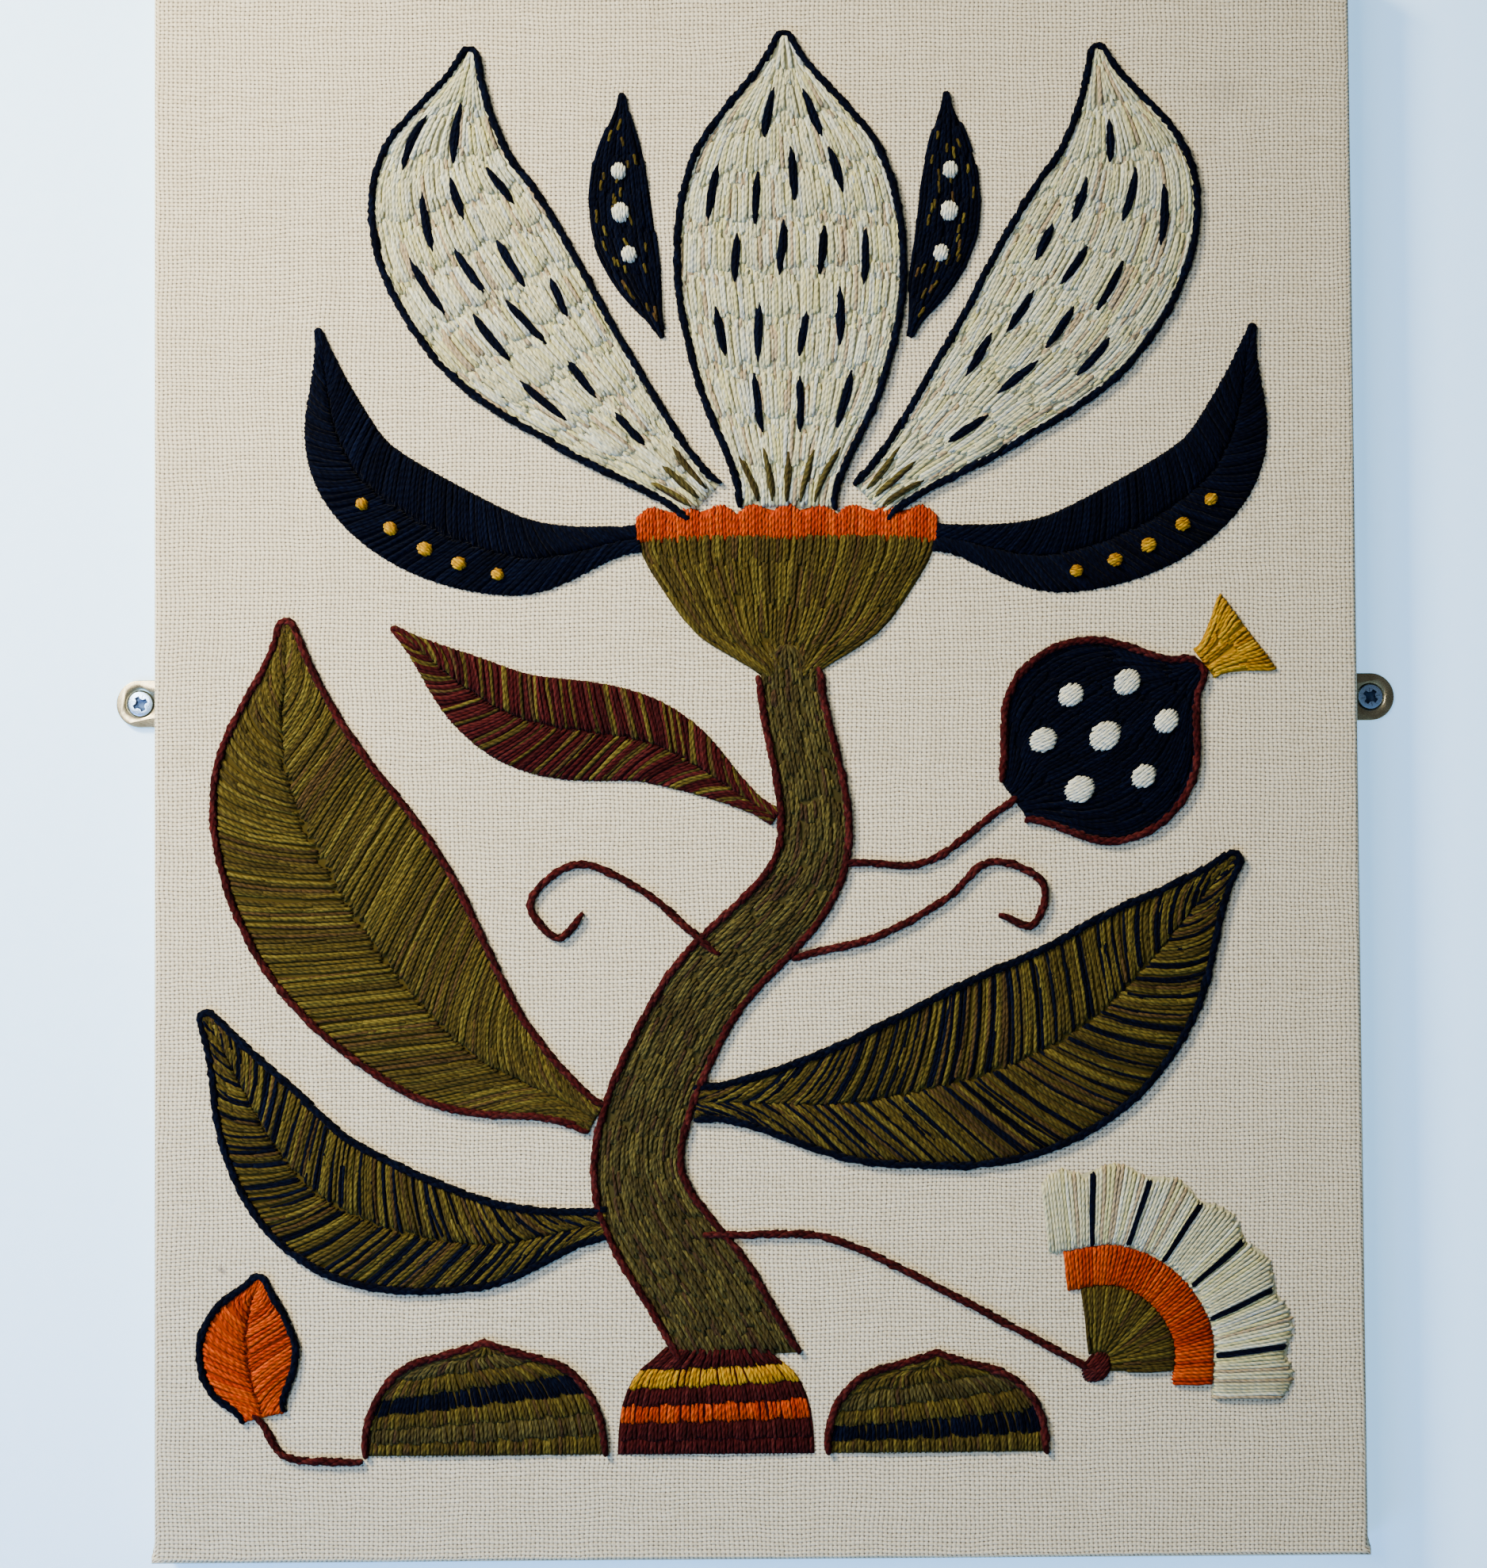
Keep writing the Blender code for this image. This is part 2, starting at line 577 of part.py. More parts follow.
def add_plate(name, side, collection, cutters):
    """A mirror plate: a strip on the frame's back, whose round ear stands out past the edge."""
    ear_x = side * (HALF_WIDTH + WALL_SCREW_OUT)
    inner_x = side * (HALF_WIDTH - PLATE_INNER_REACH)
    steps = 12
    turns = [side * math.pi * (i / steps - 0.5) for i in range(steps + 1)]
    ear = [
        (ear_x + side * PLATE_HALF_HEIGHT * math.cos(t), PLATE_HALF_HEIGHT * math.sin(t))
        for t in turns
    ]
    corner = 2.0 * MM
    foot = [
        (inner_x + side * corner, side * PLATE_HALF_HEIGHT),
        (inner_x, side * (PLATE_HALF_HEIGHT - corner)),
        (inner_x, -side * (PLATE_HALF_HEIGHT - corner)),
        (inner_x + side * corner, -side * PLATE_HALF_HEIGHT),
    ]
    bm = bmesh.new()
    rim = [bm.verts.new((x, 0.0, z)) for x, z in ear + foot]
    face = bm.faces.new(rim)
    thick = bmesh.ops.extrude_face_region(bm, geom=[face], use_keep_orig=True)["geom"]
    for vert in (v for v in thick if isinstance(v, bmesh.types.BMVert)):
        vert.co.y = PLATE_FRONT_Y
    bmesh.ops.recalc_face_normals(bm, faces=bm.faces)
    plate = mesh_object(name, bm, collection, "zinc")
    cut_by(plate, cutters["dishes"])
    cut_by(plate, cutters["fixing_heads"])
    cut_by(plate, cutters["fixing_holes"])


def screw_profile(head_radius, shank_radius, head_depth, length):
    """A countersunk screw's outline from the middle of its head to its point: radius, depth."""
    return (
        (0.0, 0.0),
        (head_radius - HEAD_RIM, 0.0),
        (head_radius, HEAD_RIM),
        (shank_radius, head_depth),
        (shank_radius, length - 2 * shank_radius),
        (0.0, length),
    )


def add_screw(name, profile, place, inward, collection, sides):
    """A turned screw, its head at place and its point towards inward along Y."""
    mesh = bpy.data.meshes.new(name)
    points = [(radius, 0.0, -depth) for radius, depth in profile]
    mesh.from_pydata(points, [(i, i + 1) for i in range(len(points) - 1)], [])
    screw = add_object(name, mesh, collection, "steel")
    screw.location = place
    screw.rotation_euler = (inward * math.pi / 2, 0, 0)
    add_modifier(screw, "SCREW", axis="Z", steps=sides, render_steps=sides, use_merge_vertices=True,
                 merge_threshold=0.00001, use_normal_calculate=True)
    return screw


def add_fittings(collection, cutters):
    """The two plates, the screws that hold them to the bars, and the screws into the wall."""
    wall_profile = screw_profile(WALL_HEAD_RADIUS, WALL_SHANK_RADIUS, WALL_HEAD_DEPTH, WALL_SCREW_LENGTH)
    fixing_profile = screw_profile(
        FIXING_HEAD_RADIUS, FIXING_SHANK_RADIUS, FIXING_HEAD_DEPTH, FIXING_LENGTH
    )
    for label, side in (("left", -1), ("right", 1)):
        add_plate(f"hanging_plate_{label}", side, collection, cutters)
        place = (side * (HALF_WIDTH + WALL_SCREW_OUT), PLATE_FRONT_Y - CLEARANCE, 0)
        screw = add_screw(f"wall_screw_{label}", wall_profile, place, 1, collection, 20)
        cut_by(screw, cutters["recess_upright"])
        cut_by(screw, cutters["recess_level"])
        for number, reach in enumerate(FIXING_PLACES, 1):
            place = (side * (HALF_WIDTH - reach), -FIXING_SUNK, 0)
            add_screw(f"fixing_screw_{label}_{number}", fixing_profile, place, -1, collection, 12)


def add_stitching(collection):
    """All the wool: pads, edge ropes, stalks, curls and dots."""
    by_name = {ribbon.name: ribbon for ribbon in RIBBONS}
    for ribbon in RIBBONS:
        add_pad(ribbon, collection)
    for rope in ROPES:
        add_edge_rope(rope, by_name[rope.ribbon], collection)
    for stalk in STALKS:
        add_rope(stalk.name, stalk.yarn, through(stalk.points, 60), collection)
    for number, dot in enumerate(FRUIT_DOTS, 1):
        add_dot(f"fruit_dot_{number}", dot, by_name["fruit"], collection)


def main():
    """Builds the whole panel."""
    clear_scene()
    panel = new_collection("crewel_panel")
    cutters = make_cutters(new_collection("cutters"))
    add_cloth(panel, cutters)
    add_stretcher(panel, cutters)
    add_fittings(panel, cutters)
    add_stitching(panel)


main()
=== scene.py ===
"""The looks of the crewel embroidery panel: strands of wool, woven linen, pine, zinc and steel.

Lengths are in metres in the frame's axes, unless a name ends in _MM. The design is flat, in
millimetres, as in the part's source: x from the middle of the panel, z from its lower edge, and a
height above the stitching's base. The front faces -Y.
"""

import math
from collections import namedtuple

import bmesh
import bpy
import numpy as np
from mathutils import Matrix, Vector, noise


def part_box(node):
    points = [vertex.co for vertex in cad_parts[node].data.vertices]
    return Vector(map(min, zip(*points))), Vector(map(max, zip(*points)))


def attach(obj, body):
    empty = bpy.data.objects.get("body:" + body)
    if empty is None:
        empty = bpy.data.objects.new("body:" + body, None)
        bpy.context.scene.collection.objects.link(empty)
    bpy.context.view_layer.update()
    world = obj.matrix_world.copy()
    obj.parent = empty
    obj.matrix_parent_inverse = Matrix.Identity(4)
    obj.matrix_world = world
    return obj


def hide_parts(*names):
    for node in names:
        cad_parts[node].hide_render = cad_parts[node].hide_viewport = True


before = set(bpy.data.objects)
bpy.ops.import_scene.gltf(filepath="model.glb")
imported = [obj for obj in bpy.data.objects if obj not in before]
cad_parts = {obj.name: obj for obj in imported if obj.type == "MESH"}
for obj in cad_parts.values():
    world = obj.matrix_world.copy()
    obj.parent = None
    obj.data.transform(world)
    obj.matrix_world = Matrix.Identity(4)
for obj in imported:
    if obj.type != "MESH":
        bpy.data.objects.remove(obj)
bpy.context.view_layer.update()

MM = 0.001
CLOTH_LOW, CLOTH_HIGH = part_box("ground_cloth")
PANEL_WIDTH = 0.457
HALF_WIDTH = PANEL_WIDTH / 2
CLOTH_FRONT_Y = CLOTH_LOW[1]
FLAP_BACK_Y = CLOTH_HIGH[1]
LOWER_EDGE_Z = CLOTH_LOW[2]
UPPER_EDGE_Z = CLOTH_HIGH[2]
HALF_HEIGHT = (UPPER_EDGE_Z - LOWER_EDGE_Z) / 2
MIDDLE_Z = (UPPER_EDGE_Z + LOWER_EDGE_Z) / 2
STITCH_BASE_Y = CLOTH_FRONT_Y - 0.3 * MM

# The cloth
CLOTH_THICKNESS = 1.0 * MM
FLAP_WIDTH = 0.024
EDGE_RADIUS = 2.0 * MM
FOLD_REACH = 0.015
FOLD_PROUD = 1.2 * MM
CLOTH_STEP = 5.0 * MM
FOLD_STEP = 0.8 * MM
THREAD_ACROSS_MM = 1.70
THREAD_UP_MM = 1.56

# The plates and the wall screws
PLATE_THICKNESS = 1.6 * MM
PLATE_HALF_HEIGHT = 9.2 * MM
PLATE_INNER_REACH = 0.031
WALL_SCREW_OUT = 10.0 * MM
DISH_RADIUS_MM = 5.5
DISH_INNER_RADIUS_MM = 3.7
FIXING_PLACES = (0.008, 0.023)
SCREW_HEAD_Y = -PLATE_THICKNESS - 0.3 * MM

# The yarn
YARN_RADIUS_MM = 0.74
PETAL_YARN_RADIUS_MM = 0.84
YARN_PITCH_MM = 1.32
YARN_SIDES = 6
YARN_FLATNESS = 0.85
YARN_END = 0.55
YARN_SPREAD = (0.9, 1.1)
DYE_SPREAD = (0.88, 1.10)
TWIST_LENGTH_MM = 5.4
WOBBLE_MM = 0.12
DIVE_MM = 0.5
FINE = 160

# The heights of the stitching, as in the part's source
PAD_EDGE_MM = 0.9
PAD_TOP_MM = 1.8
GROOVE_MM = 1.0
ROPE_MARGIN_MM = 2.1
UNDER_ROPE_MM = 1.5
SCALLOP_DEPTH_MM = 4.0
SHINGLE_START = 1.22
SHINGLE_END = 0.62

# Rows of stitches
LOBE_MM = 12.0
LOBE_DEPTH = 0.26
ROW_EDGE = 0.985
SPOT_JITTER = 0.28
FISHBONE_PITCH_MM = 1.28
FISHBONE_LEAN = 0.55
FISHBONE_ROW_WIDTHS_MM = (22, 30)
LENS_RADIUS_MM = 0.8
DASH_ROOT_MM = 29.0
DASH_ENDS_MM = 26.0
GROUND_STEP_MM = 5.0
GROUND_COLUMNS = 12
# Painted shade on the ground stitches under the strands: their yarn's colour is multiplied by this.
GROUND_PAINTED_SHADE = 0.8

# The stem-stitched lines
STEM_LENGTH_MM = 8.5
STEM_STEP_MM = 3.2
STEM_SLANT_MM = 0.92
STEM_RADIUS_MM = 1.04

# The camera, from the panel's edges and screws in the photograph
CAMERA_PLACE = (-0.0091, -0.9713, -0.0585)
CAMERA_LENS = 57.5
CAMERA_YAW = math.radians(0.24)
CAMERA_PITCH = math.radians(1.54)
CAMERA_ROLL = math.radians(-0.36)

# The area lights: name, place, target, size, power, colour, spread in degrees. A warm window on the
# upper left, its glow, a cool fill from below on the left, and a light for the back
LIGHTS = (
    ("window", (-0.95, -0.80, 0.90), (-0.26, 0.0, 0.08), 0.34, 14.2, (1.0, 0.90, 0.71), 72),
    ("glow", (-0.62, -1.35, 0.35), (-0.26, 0.0, 0.10), 0.5, 2.6, (1.0, 0.97, 0.93), 64),
    ("fill", (-0.85, -0.9, -1.0), (-0.30, 0.0, -0.35), 0.7, 7.0, (0.15, 0.40, 1.0), 80),
    ("back_fill", (0.6, 1.8, 0.9), (0.0, 0.0, 0.0), 1.2, 55.0, (1.0, 0.97, 0.92), 180),
)

# The dyes of the yarns: linear red, green, blue, and how many strands in a hundred have them
PALETTES = {
    "olive": ((0.042, 0.031, 0.006, 40), (0.029, 0.021, 0.005, 30), (0.064, 0.050, 0.009, 18),
              (0.034, 0.020, 0.007, 12)),
    "bark": ((0.037, 0.031, 0.010, 40), (0.026, 0.020, 0.007, 30), (0.054, 0.045, 0.013, 18),
             (0.026, 0.015, 0.008, 12)),
    "maroon": ((0.025, 0.0030, 0.0036, 50), (0.017, 0.0023, 0.0028, 30), (0.036, 0.0056, 0.0060, 20)),
    "navy": ((0.0005, 0.0011, 0.0050, 60), (0.0008, 0.0017, 0.0075, 25), (0.0003, 0.0007, 0.0034, 15)),
    "cream": ((0.385, 0.373, 0.248, 48), (0.415, 0.421, 0.336, 24), (0.370, 0.353, 0.187, 14),
              (0.270, 0.212, 0.140, 9), (0.341, 0.356, 0.331, 5)),
    "white": ((0.500, 0.495, 0.420, 70), (0.455, 0.460, 0.400, 30)),
    "orange": ((0.250, 0.024, 0.0002, 50), (0.310, 0.038, 0.0004, 25), (0.190, 0.014, 0.0002, 25)),
    "gold": ((0.260, 0.132, 0.003, 55), (0.205, 0.094, 0.002, 30), (0.315, 0.172, 0.006, 15)),
}

# A ribbon is a stitched shape along a spine: the yarns that its rows or strands take in turn, half
# widths at even steps from root to tip, whether a groove runs down its middle, and scallops along its
# left edge.
Ribbon = namedtuple("Ribbon", "name slot stitch yarns spine half_widths grooved scallops",
                    defaults=(False, 0))
# A rope is a stem-stitched line round a ribbon, or along its left or right edge.
Rope = namedtuple("Rope", "name yarn ribbon where")
Stalk = namedtuple("Stalk", "name yarn points")
Dot = namedtuple("Dot", "along across half_length")

BLOOM_AXIS_MM = 12
FAN_CENTRE_MM = (128, 74)
FAN_TURN = 48
FAN_SPREAD = 63


def fan_arc(radius):
    """Five points of an arc about the fan's centre, so that its left side is the outer one."""
    angles = [math.radians(FAN_TURN + FAN_SPREAD * (1 - i / 2)) for i in range(5)]
    return tuple(
        (FAN_CENTRE_MM[0] + radius * math.cos(a), FAN_CENTRE_MM[1] + radius * math.sin(a)) for a in angles
    )


def mirrored(ribbon):
    """The same ribbon on the other side of the bloom."""
    return ribbon._replace(
        name=ribbon.name.replace("left", "right"),
        spine=tuple((2 * BLOOM_AXIS_MM - x, z) for x, z in ribbon.spine),
    )


BLOOM_LEFT = (
    Ribbon("petal_left", "cream", "petal", ("cream",),
           ((-25, 404), (-62, 438), (-97, 477), (-116, 520), (-108, 570)), (7, 20, 31, 27, 0.9)),
    Ribbon("inner_left", "navy", "feathered", ("navy", "olive"),
           ((-35, 462), (-50, 505), (-50, 556)), (1, 9, 12, 9, 0.8)),
    Ribbon("sepal_left", "navy", "fishbone", ("navy",),
           ((-48, 385), (-96, 380), (-150, 410), (-166, 466)), (5, 15, 19, 14, 0.9), True),
)
RIBBONS = (
    Ribbon("hill_left", "olive", "banded", ("olive", "bark", "olive", "navy"),
           ((-104, 40), (-104, 60), (-104, 80)), (43, 42.5, 40.5, 36, 27, 0.9)),
    Ribbon("hill_middle", "maroon", "banded", ("maroon", "maroon", "orange", "maroon", "gold"),
           ((-17, 40), (-17, 60), (-17, 80)), (37, 36.5, 34.8, 30, 19)),
    Ribbon("hill_right", "olive", "banded", ("olive", "navy", "olive", "bark", "olive", "olive"),
           ((66, 40), (66, 57), (66, 75)), (39, 38.5, 37, 33, 24, 0.9)),
    Ribbon("trunk", "bark", "bark", ("bark",),
           ((-19, 96), (-46, 146), (-24, 208), (20, 262), (13, 329)), (18, 14, 12.5, 11, 9.5)),
    Ribbon("calyx", "olive", "feathered", ("olive",),
           ((12, 332), (12, 356), (12, 382)), (9, 34, 47, 56), True),
    Ribbon("bloom_band", "orange", "satin", ("orange",),
           ((-45, 388.5), (12, 389.5), (69, 388.5)), (5, 5, 5), False, 9),
    Ribbon("petal_middle", "cream", "petal", ("cream",),
           ((12, 402), (14, 478), (12, 576)), (16, 33, 41, 33, 0.9)),
    *BLOOM_LEFT,
    *map(mirrored, BLOOM_LEFT),
    Ribbon("leaf_left", "olive", "fishbone", ("olive",),
           ((-67, 169), (-122, 204), (-172, 280), (-178, 352)), (4, 26, 37, 28, 0.9), True),
    Ribbon("leaf_low_left", "olive_navy", "fishbone", ("olive", "navy"),
           ((-63, 126), (-112, 120), (-168, 140), (-208, 204)), (3, 15, 22, 16, 0.9), True),
    Ribbon("leaf_high_left", "olive_maroon", "fishbone", ("maroon", "olive"),
           ((1, 283), (-40, 308), (-92, 318), (-138, 352)), (3, 14, 19, 14, 0.9), True),
    Ribbon("leaf_right", "olive_navy", "fishbone", ("olive", "navy"),
           ((-15, 172), (50, 174), (120, 198), (180, 262)), (4, 22, 33, 25, 0.9), True),
    Ribbon("fruit", "navy", "feathered", ("navy",), ((98, 286), (130, 308), (163, 332)), (7, 31, 37, 29, 5)),
    Ribbon("fruit_crown", "gold", "feathered", ("gold",), ((172, 338), (187, 349)), (7, 12, 18), True),
    Ribbon("fan_cup", "olive", "spread", ("olive",), fan_arc(16), (12.8, 12.8)),
    Ribbon("fan_band", "orange", "satin", ("orange",), fan_arc(36), (7.6, 7.6)),
    Ribbon("fan_fringe", "cream", "blocks", ("cream",), fan_arc(57), (13.2, 13.2), False, 7),
    Ribbon("bud", "orange", "fishbone", ("orange",),
           ((-188, 58), (-193, 80), (-189, 105)), (6, 14, 16, 11, 0.9), True),
)
ROPES = (
    *(Rope("edge_" + name, "maroon", name, "round") for name in ("hill_left", "hill_right")),
    *(Rope("edge_trunk_" + side, "maroon", "trunk", side) for side in ("left", "right")),
    *(Rope("edge_" + name, yarn, name, "round") for name, yarn in (
        ("petal_middle", "navy"), ("petal_left", "navy"), ("petal_right", "navy"),
        ("leaf_left", "maroon"), ("leaf_low_left", "navy"), ("leaf_right", "navy"),
        ("fruit", "maroon"), ("bud", "navy"),
    )),
)
STALKS = (
    Stalk("stalk_fan", "maroon", ((-8, 122), (28, 120), (78, 96), (124, 71))),
    Stalk("stalk_fruit", "maroon", ((40, 262), (64, 262), (91, 281))),
    Stalk("stalk_bud", "maroon", ((-187, 52), (-178, 40), (-154, 38))),
    Stalk("curl_left", "maroon", ((-25, 236), (-44, 252), (-68, 262), (-86, 248), (-76, 234), (-66, 243))),
    Stalk("curl_right", "maroon", ((21, 228), (45, 234), (71, 248), (88, 262), (108, 254), (104, 238),
                                   (92, 242))),
)
# The white dots on the fruit: along its spine from the root, across it to the left, half length
FRUIT_DOTS = (Dot(20, 11, 6.0), Dot(24, -12, 6.5), Dot(41, 20, 5.5), Dot(42, 0, 7.0),
              Dot(44, -21, 5.5), Dot(62, 10, 6.0), Dot(63, -11, 5.5))
# Small dots on both sides of the bloom: ribbons, yarn, places
SMALL_DOTS = (
    ("inner", "white", (Dot(34, 0, 3.6), Dot(50, 0, 4.2), Dot(66, 0, 3.6))),
    ("sepal", "gold", (Dot(52, 8, 2.6), Dot(66, 8.5, 3.0), Dot(80, 8.5, 3.2), Dot(94, 8, 3.0),
                       Dot(107, 7, 2.6))),
)
# How far stitches go on past a solid's root and tip, in millimetres, to meet what is next to it
REACHES = {
    "trunk": (12.0, 5.0), "calyx": (0.0, 5.0), "petal_left": (7.0, 0.0), "petal_right": (7.0, 0.0),
    "petal_middle": (5.0, 0.0), "sepal_left": (4.0, 0.0), "sepal_right": (4.0, 0.0),
    "leaf_left": (6.0, 0.0), "leaf_low_left": (5.5, 0.0), "leaf_high_left": (7.0, 0.0),
    "leaf_right": (9.0, 0.0), "fruit_crown": (2.5, 0.0), "bud": (3.0, 0.0),
    "stalk_fan": (13.0, 4.0), "stalk_fruit": (7.0, 9.0), "stalk_bud": (5.0, 3.5),
    "curl_left": (13.0, 0.0), "curl_right": (8.0, 0.0),
}
# How much further the right edge goes on at the root, where the root meets the ground at a slant
SLANTED_ROOTS = {"trunk": 20.0}
FAN_ROOT_MM = (126.5, 71.5)
# Faint stains on the linen: place in the design, reach, strength
STAINS_MM = (
    ((-124, 210), 9.0, 0.45), ((-203, 110), 2.4, 0.8), ((181, 556), 12.0, 0.22),
    ((-150, 236), 26.0, 0.10), ((196, 60), 20.0, 0.08),
)


# Lines in the plane of the design


def spline_value(before, start, end, after, share):
    """A smooth value between start and end, going by their neighbours."""
    bend = share * (3 * (start - end) + after - before)
    curve = 2 * before - 5 * start + 4 * end - after + bend
    return start + 0.5 * share * (end - before + share * curve)


def eased(keys, share):
    """The values at shares of evenly spaced keys, smoothly joined."""
    keys = np.array(keys, float)
    at = share * (len(keys) - 1)
    k = np.minimum(at.astype(int), len(keys) - 2)
    before, after = keys[np.maximum(k - 1, 0)], keys[np.minimum(k + 2, len(keys) - 1)]
    return spline_value(before, keys[k], keys[k + 1], after, at - k)


def run_of(line):
    """How far along a line each of its points is."""
    return np.concatenate([[0.0], np.cumsum(np.linalg.norm(np.diff(line, axis=0), axis=1))])


def read_at(places, run, line):
    """The points of a line at places along it."""
    return np.stack([np.interp(places, run, axis) for axis in line.T], axis=-1)


def raised(flat, height):
    """Points of the plane with their heights."""
    return np.concatenate([flat, height[..., None]], axis=-1)


def even_points(line, count):
    """A count of points evenly along a line."""
    run = run_of(line)
    return read_at(np.linspace(0.0, run[-1], count), run, line)


def through(points, count):
    """A count of points evenly along a smooth line through the given points."""
    points = np.array(points, float)
    guide = np.vstack([2 * points[0] - points[1], points, 2 * points[-1] - points[-2]])
    share = np.linspace(0.0, 1.0, 24, endpoint=False)[:, None]
    dense = [spline_value(*guide[i - 1 : i + 3], share) for i in range(1, len(guide) - 2)]
    return even_points(np.vstack([*dense, points[-1:]]), count)


def left_normals(line):
    """The unit vectors that point to a line's left."""
    run = np.vstack([line[1:], line[-1:]]) - np.vstack([line[:1], line[:-1]])
    run /= np.linalg.norm(run, axis=1, keepdims=True)
    return np.column_stack([-run[:, 1], run[:, 0]])


def reaching(line, root, tip):
    """A line that goes straight on at both ends, with as many points as before."""
    back = (line[0] - line[1]) / math.dist(line[0], line[1]) * root
    ahead = (line[-1] - line[-2]) / math.dist(line[-1], line[-2]) * tip
    near, far = [line[:1] + back] if root else [], [line[-1:] + ahead] if tip else []
    return even_points(np.vstack([*near, line, *far]), len(line))


def shifted(line, to_left):
    """A line moved sideways."""
    return line + left_normals(line) * to_left


def pad_height(across, grooved):
    """The heights of a stitched pad at shares across it, from -1 to 1."""
    if not grooved:
        return PAD_EDGE_MM + (PAD_TOP_MM - PAD_EDGE_MM) * (1 - across**4)
    rise = np.abs(np.sin(math.pi * np.abs(across))) ** 0.5
    low = GROOVE_MM + (PAD_EDGE_MM - GROOVE_MM) * np.abs(across)
    return low + (PAD_TOP_MM - low) * rise


class Patch:
    """The surface that a ribbon's stitches make, in shares along it and across it."""

    def __init__(self, ribbon, outlined):
        root, tip = REACHES.get(ribbon.name, (0.0, 0.0))
        line = through(ribbon.spine, FINE)
        length = run_of(line)[-1]
        line = reaching(line, root, tip)
        share = np.clip((run_of(line) - root) / length, 0.0, 1.0)
        half = eased(ribbon.half_widths, share)
        scallop = SCALLOP_DEPTH_MM * np.abs(np.sin(math.pi * ribbon.scallops * share))
        self.grooved = ribbon.grooved
        self.tip = line[-1]
        self.edges = (
            line + left_normals(line) * (half + scallop)[:, None],
            reaching(line - left_normals(line) * half[:, None], SLANTED_ROOTS.get(ribbon.name, 0.0), 0.0),
        )
        left, right = self.edges
        if outlined:
            grown = self.line_round(UNDER_ROPE_MM)
            left, right = grown[: FINE + 3], grown[FINE + 2 :][::-1]
        run = run_of((left + right) / 2)
        want = np.linspace(0.0, run[-1], FINE)
        self.left, self.right = read_at(want, run, left), read_at(want, run, right)
        self.line = (self.left + self.right) / 2
        self.half = np.linalg.norm(self.left - self.right, axis=1) / 2
        self.length = run[-1]

    def half_width(self, along):
        """Half the width at a share along."""
        return np.interp(np.clip(along, 0, 1) * (FINE - 1), np.arange(FINE), self.half)

    def at(self, along, across):
        """The places on top of the stitches: x, z and height."""
        index, steps = np.clip(along, 0, 1) * (FINE - 1), np.arange(FINE)
        share = (1 - across[..., None]) / 2
        flat = read_at(index, steps, self.left) * (1 - share) + read_at(index, steps, self.right) * share
        return raised(flat, pad_height(across, self.grooved))

    def line_round(self, margin):
        """The line up the left edge, round the tip and down the right edge."""
        up, down = shifted(self.edges[0], margin), shifted(self.edges[1], -margin)
        start, end = (math.atan2(*(line[-1] - self.tip)[::-1]) for line in (up, down))
        turn = (end - start) % math.tau - math.tau
        angles = start + turn * np.arange(1, 6) / 6
        radius = math.dist(up[-1], self.tip)
        bend = self.tip + radius * np.column_stack([np.cos(angles), np.sin(angles)])
        return np.vstack([up, bend, down[::-1]])


# The wool


def strand_faces(rings):
    """The quads of one strand: its corners' numbers, their rings and their shares of a turn."""
    k, j = np.divmod(np.arange((rings - 1) * YARN_SIDES), YARN_SIDES)
    ring, side = np.stack([k, k, k + 1, k + 1], axis=1), np.stack([j, j + 1, j + 1, j], axis=1)
    cap_ring = np.repeat([[0], [0], [rings - 1], [rings - 1]], 4, axis=1)
    caps = cap_ring * YARN_SIDES + [[0, 3, 2, 1], [0, 5, 4, 3], [0, 1, 2, 3], [0, 3, 4, 5]]
    quads = np.vstack([ring * YARN_SIDES + side % YARN_SIDES, caps])
    return quads, np.vstack([ring, cap_ring]), np.vstack([side / YARN_SIDES, np.zeros((4, 4))])


